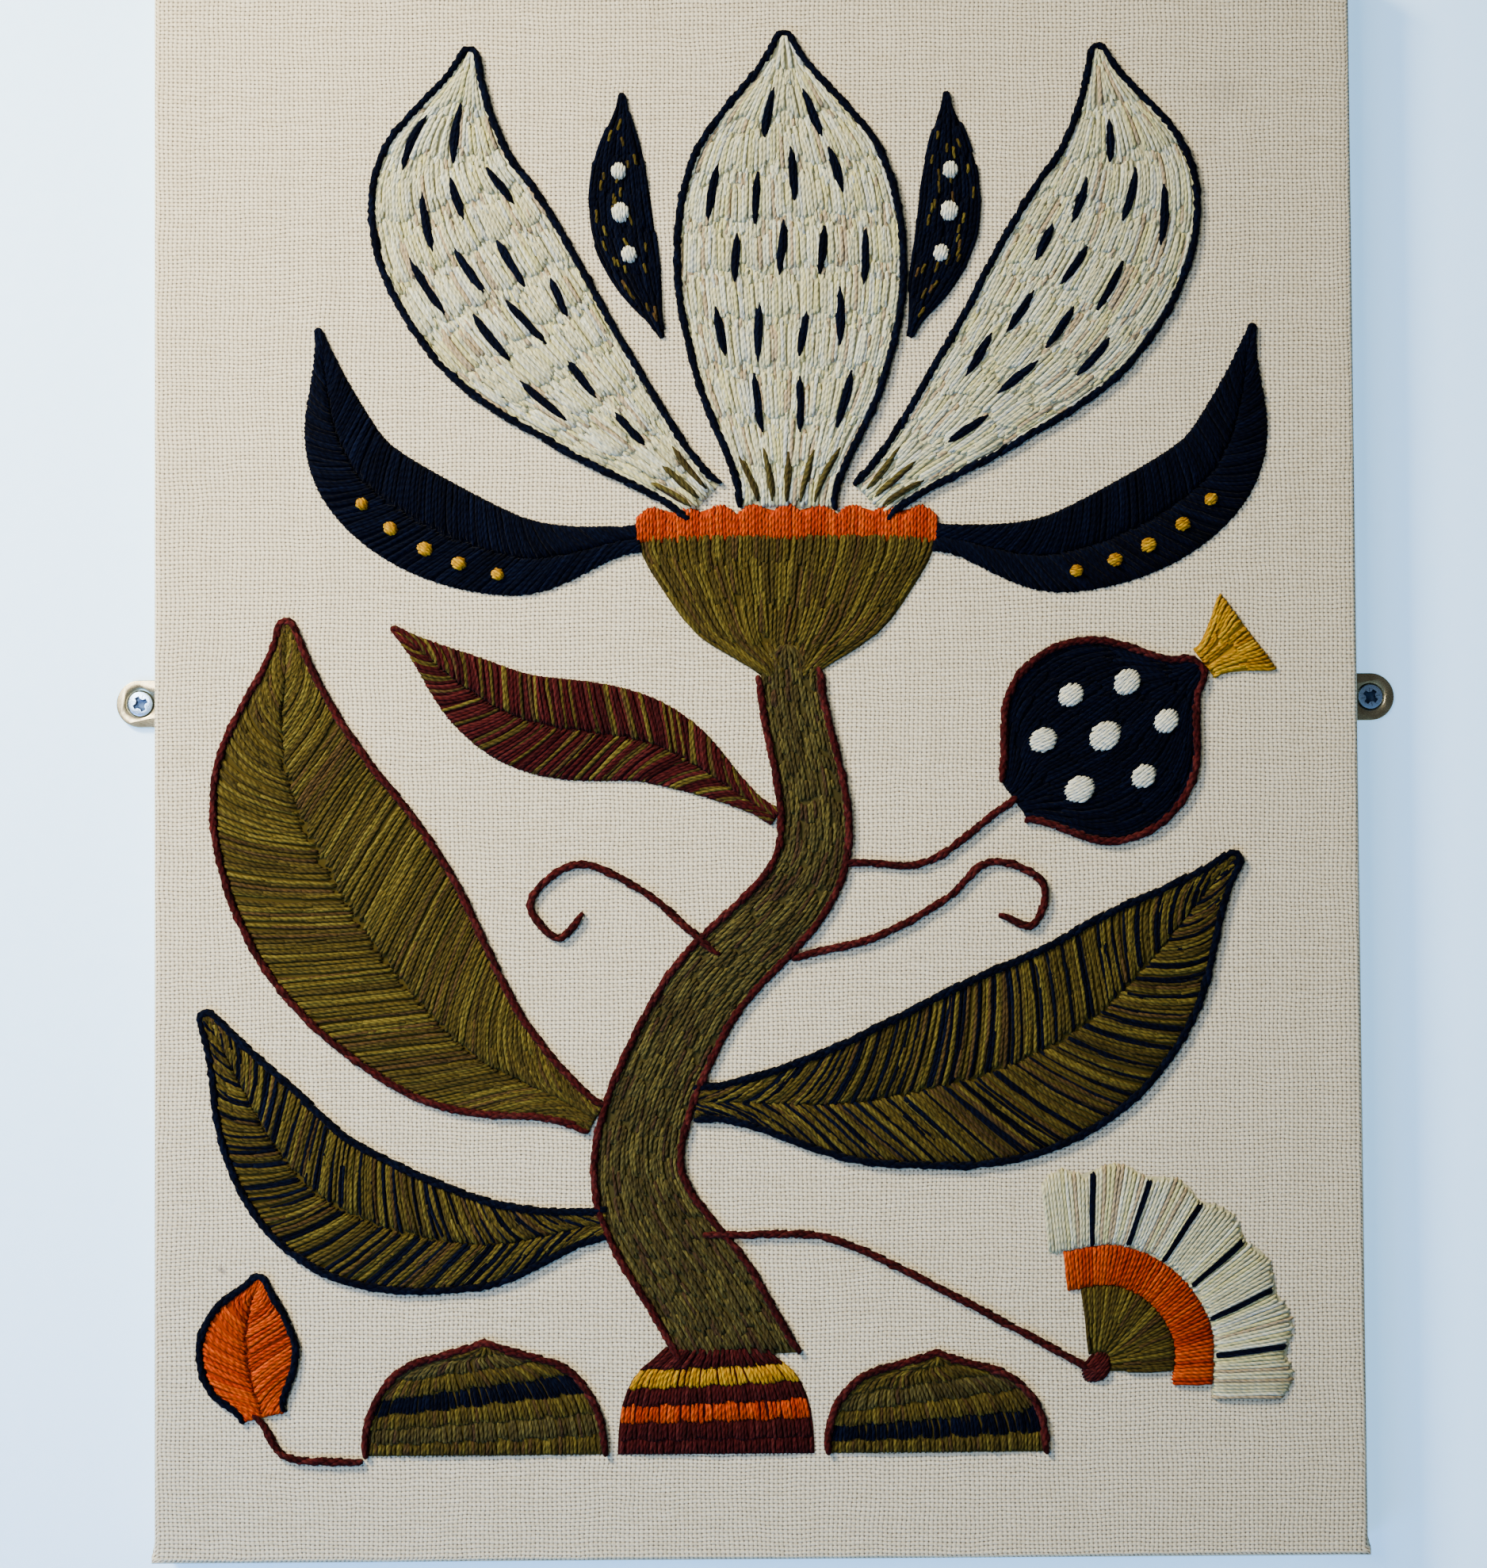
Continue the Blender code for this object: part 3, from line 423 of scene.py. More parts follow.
class Wool:
    """Strands of yarn that become one mesh."""

    def __init__(self, name):
        self.name = name
        self.random = np.random.default_rng(sum(map(ord, name)))
        self.places, self.quads, self.turns, self.dyes = [], [], [], []
        self.count = 0

    def loose(self, reach, *shape):
        """Random values from -reach to reach."""
        return self.random.uniform(-reach, reach, shape or None)

    def dye(self, yarn, count):
        """The colours of a count of strands of a yarn."""
        palette = np.array(PALETTES[yarn])
        chosen = self.random.choice(len(palette), count, p=palette[:, 3] / palette[:, 3].sum())
        return palette[chosen, :3] * self.random.uniform(*DYE_SPREAD, (count, 1))

    def dye_in_turn(self, yarns, count):
        """The colours of a count of strands that take several yarns in turn, most of them the first."""
        colours = np.stack([self.dye(yarn, count) for yarn in yarns])
        turns = np.arange(count) % len(yarns)
        runs = np.where(turns == 0, self.random.integers(2, 6, count), self.random.integers(1, 3, count))
        return colours[np.repeat(turns, runs)[:count], np.arange(count)]

    def keep(self, places, quads, turns, dyes):
        """Adds vertices, and faces that are numbered from the first of them."""
        self.places.append(places.reshape(-1, 3))
        self.quads.append(quads.reshape(-1, 4) + self.count)
        self.turns.append(turns.reshape(-1, 2))
        self.dyes.append(dyes.reshape(-1, 3))
        self.count += places.size // 3

    def add_strands(self, paths, dyes, radius_mm=YARN_RADIUS_MM):
        """Round strands along paths: for each strand, a row of places x, z and height."""
        strands, rings, _ = paths.shape
        paths = paths.copy()
        paths[:, 1:-1, :2] += self.random.normal(0.0, WOBBLE_MM, (strands, rings - 2, 2))
        along = np.gradient(paths, axis=1)
        along /= np.linalg.norm(along, axis=2, keepdims=True)
        side = np.cross((0.0, 0.0, 1.0), along)
        side /= np.linalg.norm(side, axis=2, keepdims=True)
        lift = np.cross(along, side)
        angle = np.linspace(0.0, math.tau, YARN_SIDES, endpoint=False)[:, None]
        radius = radius_mm * self.random.uniform(*YARN_SPREAD, (strands, rings, 1, 1))
        radius[:, [0, -1]] *= YARN_END
        round_it = side[:, :, None] * np.cos(angle) + lift[:, :, None] * np.sin(angle) * YARN_FLATNESS
        places = paths[:, :, None] + round_it * radius
        quads, ring, turn = strand_faces(rings)
        run = np.cumsum(np.linalg.norm(np.diff(paths, axis=1, prepend=paths[:, :1]), axis=2), axis=1)
        run += self.random.uniform(0, 100, (strands, 1))
        first = np.arange(strands)[:, None, None] * rings * YARN_SIDES
        turns = np.stack([run[:, ring], np.broadcast_to(turn, (strands, *turn.shape))], axis=-1)
        self.keep(places, quads + first, turns, np.repeat(dyes, rings * YARN_SIDES, axis=0))

    def stitch(self, patch, start, end, dyes, rings, sink, lift=0.0, slope=(1.0, 1.0),
               radius_mm=YARN_RADIUS_MM):
        """Stitches between two places in shares, with both ends sunk into the cloth.

        The slope multiplies the heights at their starts and ends, so that a row can stand over the
        one before it.
        """
        share = 0.5 - 0.5 * np.cos(np.linspace(0, math.pi, rings))
        along, across = (a[:, None] + (b - a)[:, None] * share for a, b in zip(start, end))
        paths = patch.at(along, across)
        paths[..., 2] *= slope[0] + (slope[1] - slope[0]) * share
        paths[..., 2] += lift - YARN_RADIUS_MM * YARN_FLATNESS
        paths[:, [0, -1], 2] = np.maximum(paths[:, [0, -1], 2] - sink, -DIVE_MM)
        self.add_strands(paths, dyes, radius_mm)

    def add_ground(self, patch, yarn, depth_mm=0.85):
        """The lower stitches that close a patch under its strands, in a painted shade of its first yarn."""
        steps, cross = max(8, round(patch.length / GROUND_STEP_MM)), GROUND_COLUMNS
        shares = np.linspace(0, 1, steps + 1), np.linspace(1, -1, cross + 1)
        along, across = np.meshgrid(*shares, indexing="ij")
        places = patch.at(along, across)
        places[..., 2] -= depth_mm
        places[:, [0, -1], 2] = 0.0
        places[[0, -1], :, 2] = 0.0
        if patch.grooved:
            places[:, cross // 2, 2] = -0.1
        corner = np.arange(steps)[:, None] * (cross + 1) + np.arange(cross)
        quads = np.stack([corner, corner + cross + 1, corner + cross + 2, corner + 1], axis=-1)
        colour = np.array(PALETTES[yarn][0][:3]) * GROUND_PAINTED_SHADE
        turns = np.zeros((quads.size, 2))
        self.keep(places, quads[..., ::-1], turns, np.tile(colour, (places.size // 3, 1)))

    def make(self, slot, *nodes):
        """The piece, which stands for its CAD nodes."""
        places = np.vstack(self.places)
        world = np.column_stack([places[:, 0] * MM, STITCH_BASE_Y - places[:, 2] * MM,
                                 LOWER_EDGE_Z + places[:, 1] * MM])
        mesh = bpy.data.meshes.new(self.name)
        mesh.from_pydata(world, [], np.vstack(self.quads))
        mesh.shade_smooth()
        yarn = mesh.uv_layers.new(name="yarn")
        yarn.data.foreach_set("uv", np.vstack(self.turns).ravel())
        dye = mesh.color_attributes.new("dye", "FLOAT_COLOR", "POINT")
        dyes = np.vstack(self.dyes)
        dye.data.foreach_set("color", np.column_stack([dyes, np.ones(len(dyes))]).ravel())
        add_piece(self.name, mesh, wool_material(), slot, *nodes)


def add_rows(wool, patch, yarns, row_mm, overlap, wander, lobe_mm=0.0, lobed_every=1,
             radius_mm=YARN_RADIUS_MM):
    """Rows of stitches along a patch: they overlap, and their ends wander or follow lobes."""
    rows = max(1, round(patch.length / row_mm))
    rings = int(np.clip(round(row_mm / 3) + 3, 5, 8))
    for row in range(rows):
        half = patch.half_width((row + 0.5) / rows)
        count = max(3, round(2 * half / YARN_PITCH_MM))
        spots = np.arange(count) + 0.5 + wool.loose(SPOT_JITTER, count)
        across = (spots / count * 2 - 1) * ROW_EDGE
        ends, lobed = [], []
        for end in (row, row + 1):
            lobed.append(lobe_mm and 0 < end < rows and end % lobed_every == 0)
            phase = end // lobed_every % 2 / 2
            lobe = np.abs(np.sin(math.pi * (across * half / max(lobe_mm, 1.0) + phase)))
            bow = -LOBE_DEPTH * lobed_every * np.sqrt(lobe) if lobed[-1] else 0.0
            loose = 0.05 if lobed[-1] else wander
            ends.append(end + bow + wool.loose(loose, count))
        start = np.clip(ends[0] / rows, 0, 0.97)
        end = np.clip((ends[1] + overlap) / rows, 0.03, 1)
        lift = wool.loose(0.18, count, 1)
        slip = wool.loose(1.0, count) / count
        last = (end, np.clip(across + slip, -1, 1))
        slope = (SHINGLE_START if lobed[0] else 1.0, SHINGLE_END if lobed[1] else 1.0)
        dyes = wool.dye(yarns[row % len(yarns)], count)
        wool.stitch(patch, (start, across), last, dyes, rings, 1.1, lift, slope, radius_mm)


def add_feathered(wool, patch, yarns):
    """Long and short stitches, with seed stitches of a second yarn."""
    add_rows(wool, patch, yarns[:1], row_mm=13.0, overlap=0.22, wander=0.28)
    if len(yarns) > 1:
        add_flecks(wool, patch, yarns[1], apart_mm=6.5)


def add_bark(wool, patch, yarns):
    """Short stitches in uneven rows."""
    add_rows(wool, patch, yarns, row_mm=8.5, overlap=0.2, wander=0.45)


def add_banded(wool, patch, yarns):
    """Close rows of upright stitches, each ending in lobes."""
    add_rows(wool, patch, yarns, row_mm=7.0, overlap=0.25, wander=0.05, lobe_mm=LOBE_MM)


def add_petal(wool, patch, yarns):
    """Cream stitches, each second row starting in lobes, with brown rays and navy dashes on them."""
    add_rows(wool, patch, yarns, row_mm=9.5, overlap=0.30, wander=0.36, lobe_mm=LOBE_MM, lobed_every=2,
             radius_mm=PETAL_YARN_RADIUS_MM)
    add_flecks(wool, patch, yarns[0], apart_mm=4.9, reach_mm=(1.8, 3.4), radius_mm=0.70, lift_mm=0.14)
    add_rays(wool, patch)
    add_dashes(wool, patch)


def add_lens(wool, patch, along, across_mm, reach_mm, lean_mm, yarn, bow_mm=0.95):
    """A pointed stitch of three strands, the outer two bowed apart, on top of a patch."""
    share = np.linspace(-1, 1, 7)
    half = patch.half_width(along)
    for side in (-1, 1, 0):
        aside = across_mm + lean_mm * share + side * bow_mm * (1 - share**2)
        path = patch.at(along + share * reach_mm / patch.length, aside / half)
        path[:, 2] += 0.95 - 0.3 * abs(side) - YARN_RADIUS_MM * YARN_FLATNESS
        path[[0, -1], 2] -= 0.5
        wool.add_strands(path[None], wool.dye(yarn, 1), LENS_RADIUS_MM)


def add_rays(wool, patch, yarn="bark"):
    """Brown stitches that spread from the root of a petal."""
    root = patch.half_width(0.0)
    count = max(3, round(2 * root / 7.0))
    for spot in range(count):
        aside = (spot - (count - 1) / 2) * 2 * root / count
        reach = wool.random.uniform(8.0, 11.0)
        add_lens(wool, patch, (reach + 2.0) / patch.length, aside, reach, aside * 0.15, yarn, 0.5)


def add_flecks(wool, patch, yarn, apart_mm, reach_mm=(1.6, 2.8), radius_mm=0.6, lift_mm=0.32):
    """Short seed stitches scattered over a patch, along it."""
    count = int((np.mean(patch.half) * 2 * patch.length) / apart_mm**2)
    along = (np.arange(count) + wool.random.uniform(0.1, 0.9, count)) / count * 0.86 + 0.07
    half = patch.half_width(along)
    room = np.maximum(0.0, 1 - 2.5 / half)
    kept = wool.random.uniform(0, 1, count) < half / patch.half.max()
    along, half, room = along[kept], half[kept], room[kept]
    count = len(along)
    across = wool.loose(1, count) * room
    reach = wool.random.uniform(*reach_mm, count) / patch.length
    lean = wool.loose(0.4, count) / half
    lift = lift_mm + wool.random.uniform(0.0, 0.25, (count, 1))
    wool.stitch(patch, (along - reach, across - lean), (along + reach, across + lean),
                wool.dye(yarn, count), 5, 0.8, lift, radius_mm=radius_mm)


def add_dashes(wool, patch, row_mm=27.0, apart_mm=16.0):
    """Staggered navy dashes."""
    rows = int((patch.length - DASH_ENDS_MM) / row_mm)
    for row in range(rows):
        middle = (DASH_ROOT_MM + row_mm * (row + 0.5)) / patch.length
        half = patch.half_width(middle)
        count = int((2 * half - 6) / apart_mm)
        for spot in range(count):
            aside = (spot - (count - 1) / 2 + (0.25 if row % 2 else -0.25)) * apart_mm
            place = middle + wool.loose(4.5) / patch.length
            aside = aside + wool.loose(1.4)
            lean = wool.loose(1.3)
            add_lens(wool, patch, place, aside, wool.random.uniform(8.5, 12.0), lean, "navy")


def add_satin(wool, patch, yarns):
    """Smooth stitches side by side, straight across."""
    count = round(patch.length / YARN_PITCH_MM)
    along = (np.arange(count) + 0.5) / count
    edge = 1.0 + wool.loose(0.06, count)
    wool.stitch(patch, (along, -edge), (along, edge), wool.dye(yarns[0], count), 8, 1.6)


def add_blocks(wool, patch, yarns, lobes=7):
    """Satin stitches in blocks, with a navy strand between two blocks."""
    add_satin(wool, patch, yarns)
    along = np.arange(1, lobes) / lobes
    edge = np.ones(len(along))
    for slip in (-0.4, 0.4):
        beside = along + slip / patch.length
        wool.stitch(patch, (beside, -edge), (beside, edge), wool.dye("navy", len(along)), 8, 1.6, 0.45)


def add_spread(wool, patch, yarns):
    """Stitches that spread like a fan: some start at the inner edge, the others further out."""
    outer = run_of(patch.left)[-1]
    count = round(outer / YARN_PITCH_MM)
    along = (np.arange(count) + 0.5) / count
    inner = np.array([-1.0, -0.1, -0.55, -0.1])[np.arange(count) % 4]
    inner += wool.loose(0.08, count)
    lift = wool.loose(0.16, count, 1)
    wool.stitch(patch, (along, np.maximum(inner, -1)), (along, np.ones(count)),
                wool.dye(yarns[0], count), 7, 1.2, lift)


def add_fishbone(wool, patch, yarns):
    """Slanted stitches from the groove in the middle out to both edges, in more rows where it is wide."""
    widest = patch.half.max()
    lean = FISHBONE_LEAN * widest / patch.length
    step = FISHBONE_PITCH_MM / patch.length
    rows = 1 + sum(widest > width for width in FISHBONE_ROW_WIDTHS_MM)
    for side in (-1, 1):
        foot = np.arange(-lean + step / 2, 1.0, step)
        foot += wool.loose(0.3, len(foot)) * step
        head = foot + lean + wool.loose(0.9, len(foot)) * step
        near = np.where(foot < 0, -foot / lean, wool.random.uniform(-0.02, 0.05, len(foot)))
        far = np.where(head > 1, np.maximum((1 - foot) / lean, near + 0.02), 1.0)
        dyes = wool.dye_in_turn(yarns, len(foot))
        cuts = [(row + wool.loose(0.24, len(foot))) / rows for row in range(1, rows)]
        lows, highs = [0.0, *(cut - 0.05 for cut in cuts)], [*(cut + 0.05 for cut in cuts), 1.0]
        for low, high in zip(lows, highs):
            ends = []
            for share in (low, high):
                along = np.maximum(foot, 0) + (np.minimum(head, 1) - np.maximum(foot, 0)) * share
                ends.append((along, side * (near + (far - near) * share)))
            lift = wool.loose(0.2, len(foot), 1)
            shades = dyes * wool.random.uniform(0.8, 1.2, (len(foot), 1))
            wool.stitch(patch, *ends, shades, 6 if rows > 1 else 7, 0.6, lift)


STITCHES = {
    "feathered": add_feathered, "bark": add_bark, "banded": add_banded, "petal": add_petal,
    "satin": add_satin, "blocks": add_blocks, "spread": add_spread, "fishbone": add_fishbone,
}


def add_stem(wool, line, yarn):
    """Stem stitches along a line: each overlaps the last, slanting from side to side."""
    line = even_points(line, max(20, round(run_of(line)[-1] / 2)))
    run, normals = run_of(line), left_normals(line)
    middle = np.arange(STEM_STEP_MM / 2, run[-1], STEM_STEP_MM)
    middle += wool.loose(0.5, len(middle))
    share = np.linspace(-1, 1, 6)
    at = np.clip(middle[:, None] + share * STEM_LENGTH_MM / 2, 0, run[-1])
    at += share * 0.05
    aside = share * STEM_SLANT_MM + wool.random.normal(0.0, 0.12, (len(middle), 1))
    flat = read_at(at, run, line) + read_at(at, run, normals) * aside[..., None]
    height = np.broadcast_to(1.5 - 1.6 * np.abs(share) ** 4, at.shape)
    wool.add_strands(raised(flat, height), wool.dye(yarn, len(middle)), STEM_RADIUS_MM)


def add_dot_strands(wool, point, heading, half_length, base, yarn="white"):
    """A plump oval of satin stitches along a heading, on top of other stitches."""
    half_width = 0.8 * half_length
    count = max(5, round(2 * half_width / 1.2))
    offset = (np.arange(count) + 0.5) / count * 2 - 1
    reach = half_length * np.sqrt(1 - offset**2)
    share = np.linspace(-1, 1, 7)
    ahead, aside = np.array(heading), np.array((-heading[1], heading[0]))
    flat = np.array(point) + (reach[:, None] * share)[..., None] * ahead
    flat = flat + (offset * half_width * 0.88)[:, None, None] * aside
    rise = np.sqrt(1 - offset**2)[:, None] * (1 - share**2)
    height = base + 1.15 * rise - 0.9 * np.abs(share) ** 6
    wool.add_strands(raised(flat, height), wool.dye(yarn, count))


def add_dot(wool, patch, dot, yarn):
    """One satin dot at its place on a patch."""
    at = int(np.searchsorted(run_of(patch.line), dot.along))
    normal = left_normals(patch.line)[at]
    across = dot.across / patch.half[at]
    base = float(pad_height(np.array(across), patch.grooved))
    add_dot_strands(wool, patch.line[at] + normal * dot.across, (normal[1], -normal[0]), dot.half_length,
                    base, yarn)


def add_fruit_dots(patches):
    """The white dots on the fruit, and small ones on the bloom and at the fan's root."""
    wool = Wool("fruit_dots")
    for dot in FRUIT_DOTS:
        add_dot(wool, patches["fruit"], dot, "white")
    wool.make("white", *[f"fruit_dot_{number}" for number in range(1, len(FRUIT_DOTS) + 1)])
    wool = Wool("small_dots")
    for side, turn in (("left", 1), ("right", -1)):
        for name, yarn, dots in SMALL_DOTS:
            for dot in dots:
                add_dot(wool, patches[f"{name}_{side}"], dot._replace(across=dot.across * turn), yarn)
    fan_heading = (math.cos(math.radians(FAN_TURN)), math.sin(math.radians(FAN_TURN)))
    add_dot_strands(wool, FAN_ROOT_MM, fan_heading, 6.5, 0.6, "maroon")
    wool.make("white")


def add_stitching():
    """Every motif, outline, stalk and dot."""
    outlined = {rope.ribbon for rope in ROPES}
    patches = {ribbon.name: Patch(ribbon, ribbon.name in outlined) for ribbon in RIBBONS}
    for ribbon in RIBBONS:
        wool = Wool("wool_" + ribbon.name)
        wool.add_ground(patches[ribbon.name], ribbon.yarns[0])
        STITCHES[ribbon.stitch](wool, patches[ribbon.name], ribbon.yarns)
        wool.make(ribbon.slot, ribbon.name)
    for rope in ROPES:
        patch = patches[rope.ribbon]
        lines = {
            "round": patch.line_round(ROPE_MARGIN_MM),
            "left": shifted(patch.edges[0], ROPE_MARGIN_MM),
            "right": shifted(patch.edges[1], -ROPE_MARGIN_MM),
        }
        wool = Wool("wool_" + rope.name)
        add_stem(wool, lines[rope.where], rope.yarn)
        wool.make(rope.yarn, rope.name)
    for stalk in STALKS:
        wool = Wool("wool_" + stalk.name)
        add_stem(wool, reaching(through(stalk.points, FINE), *REACHES[stalk.name]), stalk.yarn)
        wool.make(stalk.yarn, stalk.name)
    add_fruit_dots(patches)


# Materials


class Surface:
    """A Principled material and its nodes, whose inputs are values, sockets or None to leave alone."""

    def __init__(self, name, **values):
        """Uniform values go on the shader's own sockets."""
        self.material = bpy.data.materials.new(name)
        self.material.use_nodes = True
        self.tree = self.material.node_tree
        self.shader = self.tree.nodes["Principled BSDF"]
        for key, value in values.items():
            self.shader.inputs[key.replace("_", " ")].default_value = value

    def node(self, kind, *inputs, **settings):
        """The outputs of a new node."""
        made = self.tree.nodes.new("ShaderNode" + kind)
        for key, value in settings.items():
            setattr(made, key, value)
        for socket, value in zip(made.inputs, inputs):
            if isinstance(value, bpy.types.NodeSocket):
                self.tree.links.new(value, socket)
            elif value is not None:
                socket.default_value = value
        return made.outputs

    def math(self, operation, *inputs):
        """The result of a Math node."""
        return self.node("Math", *inputs, operation=operation)[0]

    def times(self, value, factor, plus=0.0):
        """A value times a factor, plus another."""
        return self.math("MULTIPLY_ADD", value, factor, plus)

    def vector(self, operation, *inputs):
        """The result of a Vector Math node."""
        return self.node("VectorMath", *inputs, operation=operation)[0]

    def noise(self, place, scale, detail, roughness):
        """The value and the colour of a noise."""
        return self.node("TexNoise", place, None, scale, detail, roughness)

    def mixed(self, share, low, high, blend="MIX"):
        """A colour between two."""
        low, high = ((*colour, 1.0) if isinstance(colour, tuple) else colour for colour in (low, high))
        return self.node("Mix", share, *[None] * 5, low, high, data_type="RGBA", blend_type=blend)[2]

    def ranged(self, value, low, high, to_low=0.0, to_high=1.0):
        """A value moved from one range to another, smoothly."""
        return self.node("MapRange", value, low, high, to_low, to_high, interpolation_type="SMOOTHSTEP")[0]

    def painted(self, colour, height, strength, distance):
        """The material, with its colour and the bump that a height makes."""
        bump = self.tree.nodes.new("ShaderNodeBump")
        bump.inputs["Strength"].default_value = strength
        bump.inputs["Distance"].default_value = distance
        self.tree.links.new(height, bump.inputs["Height"])
        self.tree.links.new(bump.outputs[0], self.shader.inputs["Normal"])
        self.tree.links.new(colour, self.shader.inputs["Base Color"])
        return self.material


def wool_material():
    """Two-ply wool, dyed by the strand, its plies and fibres lighter and darker along it: on the plies a
    painted highlight and painted shade of their twist, on the fibres and heather a random tone.
    """
    if "wool" in bpy.data.materials:
        return bpy.data.materials["wool"]
    wool = Surface("wool", Roughness=0.95, Sheen_Weight=0.01, Sheen_Roughness=0.5, Specular_IOR_Level=0.02)
    dye = wool.node("Attribute", attribute_name="dye", attribute_type="GEOMETRY")["Color"]
    run, turn, _ = wool.node("SeparateXYZ", wool.node("UVMap", uv_map="yarn")["UV"])
    twist = wool.math("SUBTRACT", turn, wool.math("DIVIDE", run, TWIST_LENGTH_MM))
    plies = wool.ranged(wool.math("SINE", wool.times(twist, 2 * math.tau)), -0.9, 0.7)
    fibre_place = wool.node("CombineXYZ", wool.times(run, 0.3), wool.times(twist, 14.0))[0]
    fibres = wool.noise(fibre_place, 1.0, 3.0, 0.65)[0]
    heather_place = wool.node("CombineXYZ", wool.times(run, 0.45), wool.times(turn, 1.5))[0]
    heather = wool.noise(heather_place, 1.0, 2.0, 0.6)
    # How far towards the lighter copy of the dye: the plies' twist gives painted highlight and shade, the
    # fibres and heather give a random tone.
    share = wool.times(plies, 0.42)
    share = wool.times(wool.ranged(fibres, 0.3, 0.7), 0.28, share)
    share = wool.times(wool.ranged(heather[0], 0.35, 0.68), 0.30, share)
    depth = wool.node("RGBToBW", dye)[0]
    # Painted shade: a darker copy of the dye for the grooves between the plies, also giving the darker flecks
    # of fibres and heather.
    ply_shade_and_dark_fleck = wool.vector("SCALE", dye, None, None, wool.times(depth, 0.80, 0.28))
    # Painted highlight: a lighter, yellower copy of the dye for the crowns of the plies, also giving the
    # lighter flecks.
    light = wool.vector("SCALE", dye, None, None, wool.times(depth, -0.75, 1.70))
    spun_with_ply_shade = wool.mixed(share, ply_shade_and_dark_fleck, wool.vector("MULTIPLY", light, (1.0, 0.98, 0.85)))
    tint = wool.mixed(wool.ranged(heather[1], 0.4, 0.62), (0.96, 1.0, 1.06), (1.03, 1.0, 0.90))
    height = wool.times(fibres, 0.6, wool.times(plies, 0.7))
    return wool.painted(wool.mixed(1.0, spun_with_ply_shade, tint, "MULTIPLY"), height, 0.7, 0.00025)


def linen_material():
    """Coarse plain-woven linen: threads over and under, with painted shade on their low flanks and in the
    small holes between them.
    """
    linen = Surface("linen", Roughness=0.9, Sheen_Weight=0.05, Sheen_Roughness=0.5, Specular_IOR_Level=0.15)
    place = linen.node("UVMap", uv_map="cloth")["UV"]
    bent = place
    for scale, reach in ((0.012, 5.0), (0.09, 1.5)):
        shift = linen.vector("SUBTRACT", linen.noise(place, scale, 2.0, 0.5)[1], (0.5, 0.5, 0.5))
        bent = linen.vector("ADD", bent, linen.vector("MULTIPLY", shift, (reach, reach, 0.0)))
    threads = []
    for at, pitch in zip(linen.node("SeparateXYZ", bent), (THREAD_ACROSS_MM, THREAD_UP_MM)):
        count = linen.math("DIVIDE", at, pitch)
        wave = linen.math("SINE", linen.times(count, math.pi))
        crown = linen.math("POWER", linen.math("ABSOLUTE", wave), 0.6)
        swell = linen.times(crown, 0.5, 0.5)
        number = linen.node("TexWhiteNoise", None, linen.math("FLOOR", count), noise_dimensions="1D")[0]
        threads.append((wave, crown, swell, number))
    (warp_wave, warp, warp_swell, warp_number), (weft_wave, weft, weft_swell, weft_number) = threads
    over = linen.math("GREATER_THAN", linen.times(warp_wave, weft_wave), 0.0)

    def on_top(of_warp, of_weft):
        """The warp's value where the warp is on top, or else the weft's."""
        return linen.times(over, of_warp, linen.times(linen.math("SUBTRACT", 1.0, over), of_weft))

    height = on_top(linen.times(warp, weft_swell), linen.times(weft, warp_swell))
    slubs = linen.noise(linen.vector("MULTIPLY", bent, (0.09, 0.9, 0.0)), 1.0, 2.0, 0.6)[0]
    pale = linen.mixed(on_top(warp_number, weft_number), (0.490, 0.420, 0.270), (0.580, 0.505, 0.340))
    worn = stained(linen, place, linen.mixed(linen.ranged(slubs, 0.35, 0.75), pale, (0.63, 0.56, 0.395)))
    # Painted shade: where a thread dips under another, its flanks get a darker copy of the linen's colour.
    side = linen.mixed(1.0, worn, (0.58, 0.55, 0.52), "MULTIPLY")
    shaded = linen.mixed(linen.ranged(height, 0.0, 0.55), side, worn)
    # Painted shade in the small holes between the threads, made stronger or weaker by a noise.
    hole_shade_mask = linen.times(linen.math("SUBTRACT", 1.0, warp), linen.math("SUBTRACT", 1.0, weft))
    open_share = linen.noise(place, 0.35, 2.0, 0.6)[0]
    hole = linen.times(linen.ranged(hole_shade_mask, 0.03, 0.22), linen.ranged(open_share, 0.25, 0.75, 0.6, 1.0))
    fuzz = linen.noise(place, 3.0, 2.0, 0.6)[0]
    relief = linen.times(fuzz, 0.3, height)
    return linen.painted(linen.mixed(hole, shaded, (0.10, 0.080, 0.055)), relief, 0.6, 0.0004)


def stained(linen, place, colour):
    """The linen's colour with a few faint smudges and an uneven tone."""
    cloud = linen.noise(place, 0.008, 3.0, 0.6)[0]
    colour = linen.mixed(linen.ranged(cloud, 0.3, 0.75, 0.0, 0.35), colour, (0.60, 0.52, 0.36))
    ragged = linen.vector("MULTIPLY", linen.noise(place, 0.35, 3.0, 0.7)[1], (6.0, 6.0, 0.0))
    torn = linen.vector("ADD", place, ragged)
    for (x, z), reach, strength in STAINS_MM:
        centre = (x + 3.0, z + 3.0 - HALF_HEIGHT / MM, 0.0)
        away = linen.node("VectorMath", torn, centre, operation="DISTANCE")["Value"]
        colour = linen.mixed(linen.ranged(away, 0.0, reach, strength, 0.0), colour, (0.16, 0.14, 0.12))
    return colour


def pine_material(name, stretch):
    """Planed pine with its grain along the bar."""
    pine = Surface(name, Roughness=0.6, Specular_IOR_Level=0.35)
    place = pine.vector("MULTIPLY", pine.node("TexCoord")["Object"], stretch)
    bent = pine.vector("ADD", place, pine.noise(place, 2.0, 3.0, 0.5)[1])
    rings = pine.noise(bent, 3.0, 5.0, 0.65)[0]
    pores = pine.noise(place, 24.0, 2.0, 0.6)[0]
    colour = pine.mixed(pine.ranged(rings, 0.35, 0.62), (0.44, 0.25, 0.105), (0.66, 0.46, 0.25))
    colour = pine.mixed(pine.ranged(pores, 0.55, 0.8, 0.0, 0.3), colour, (0.30, 0.16, 0.07))
    return pine.painted(colour, pores, 0.25, 0.0003)


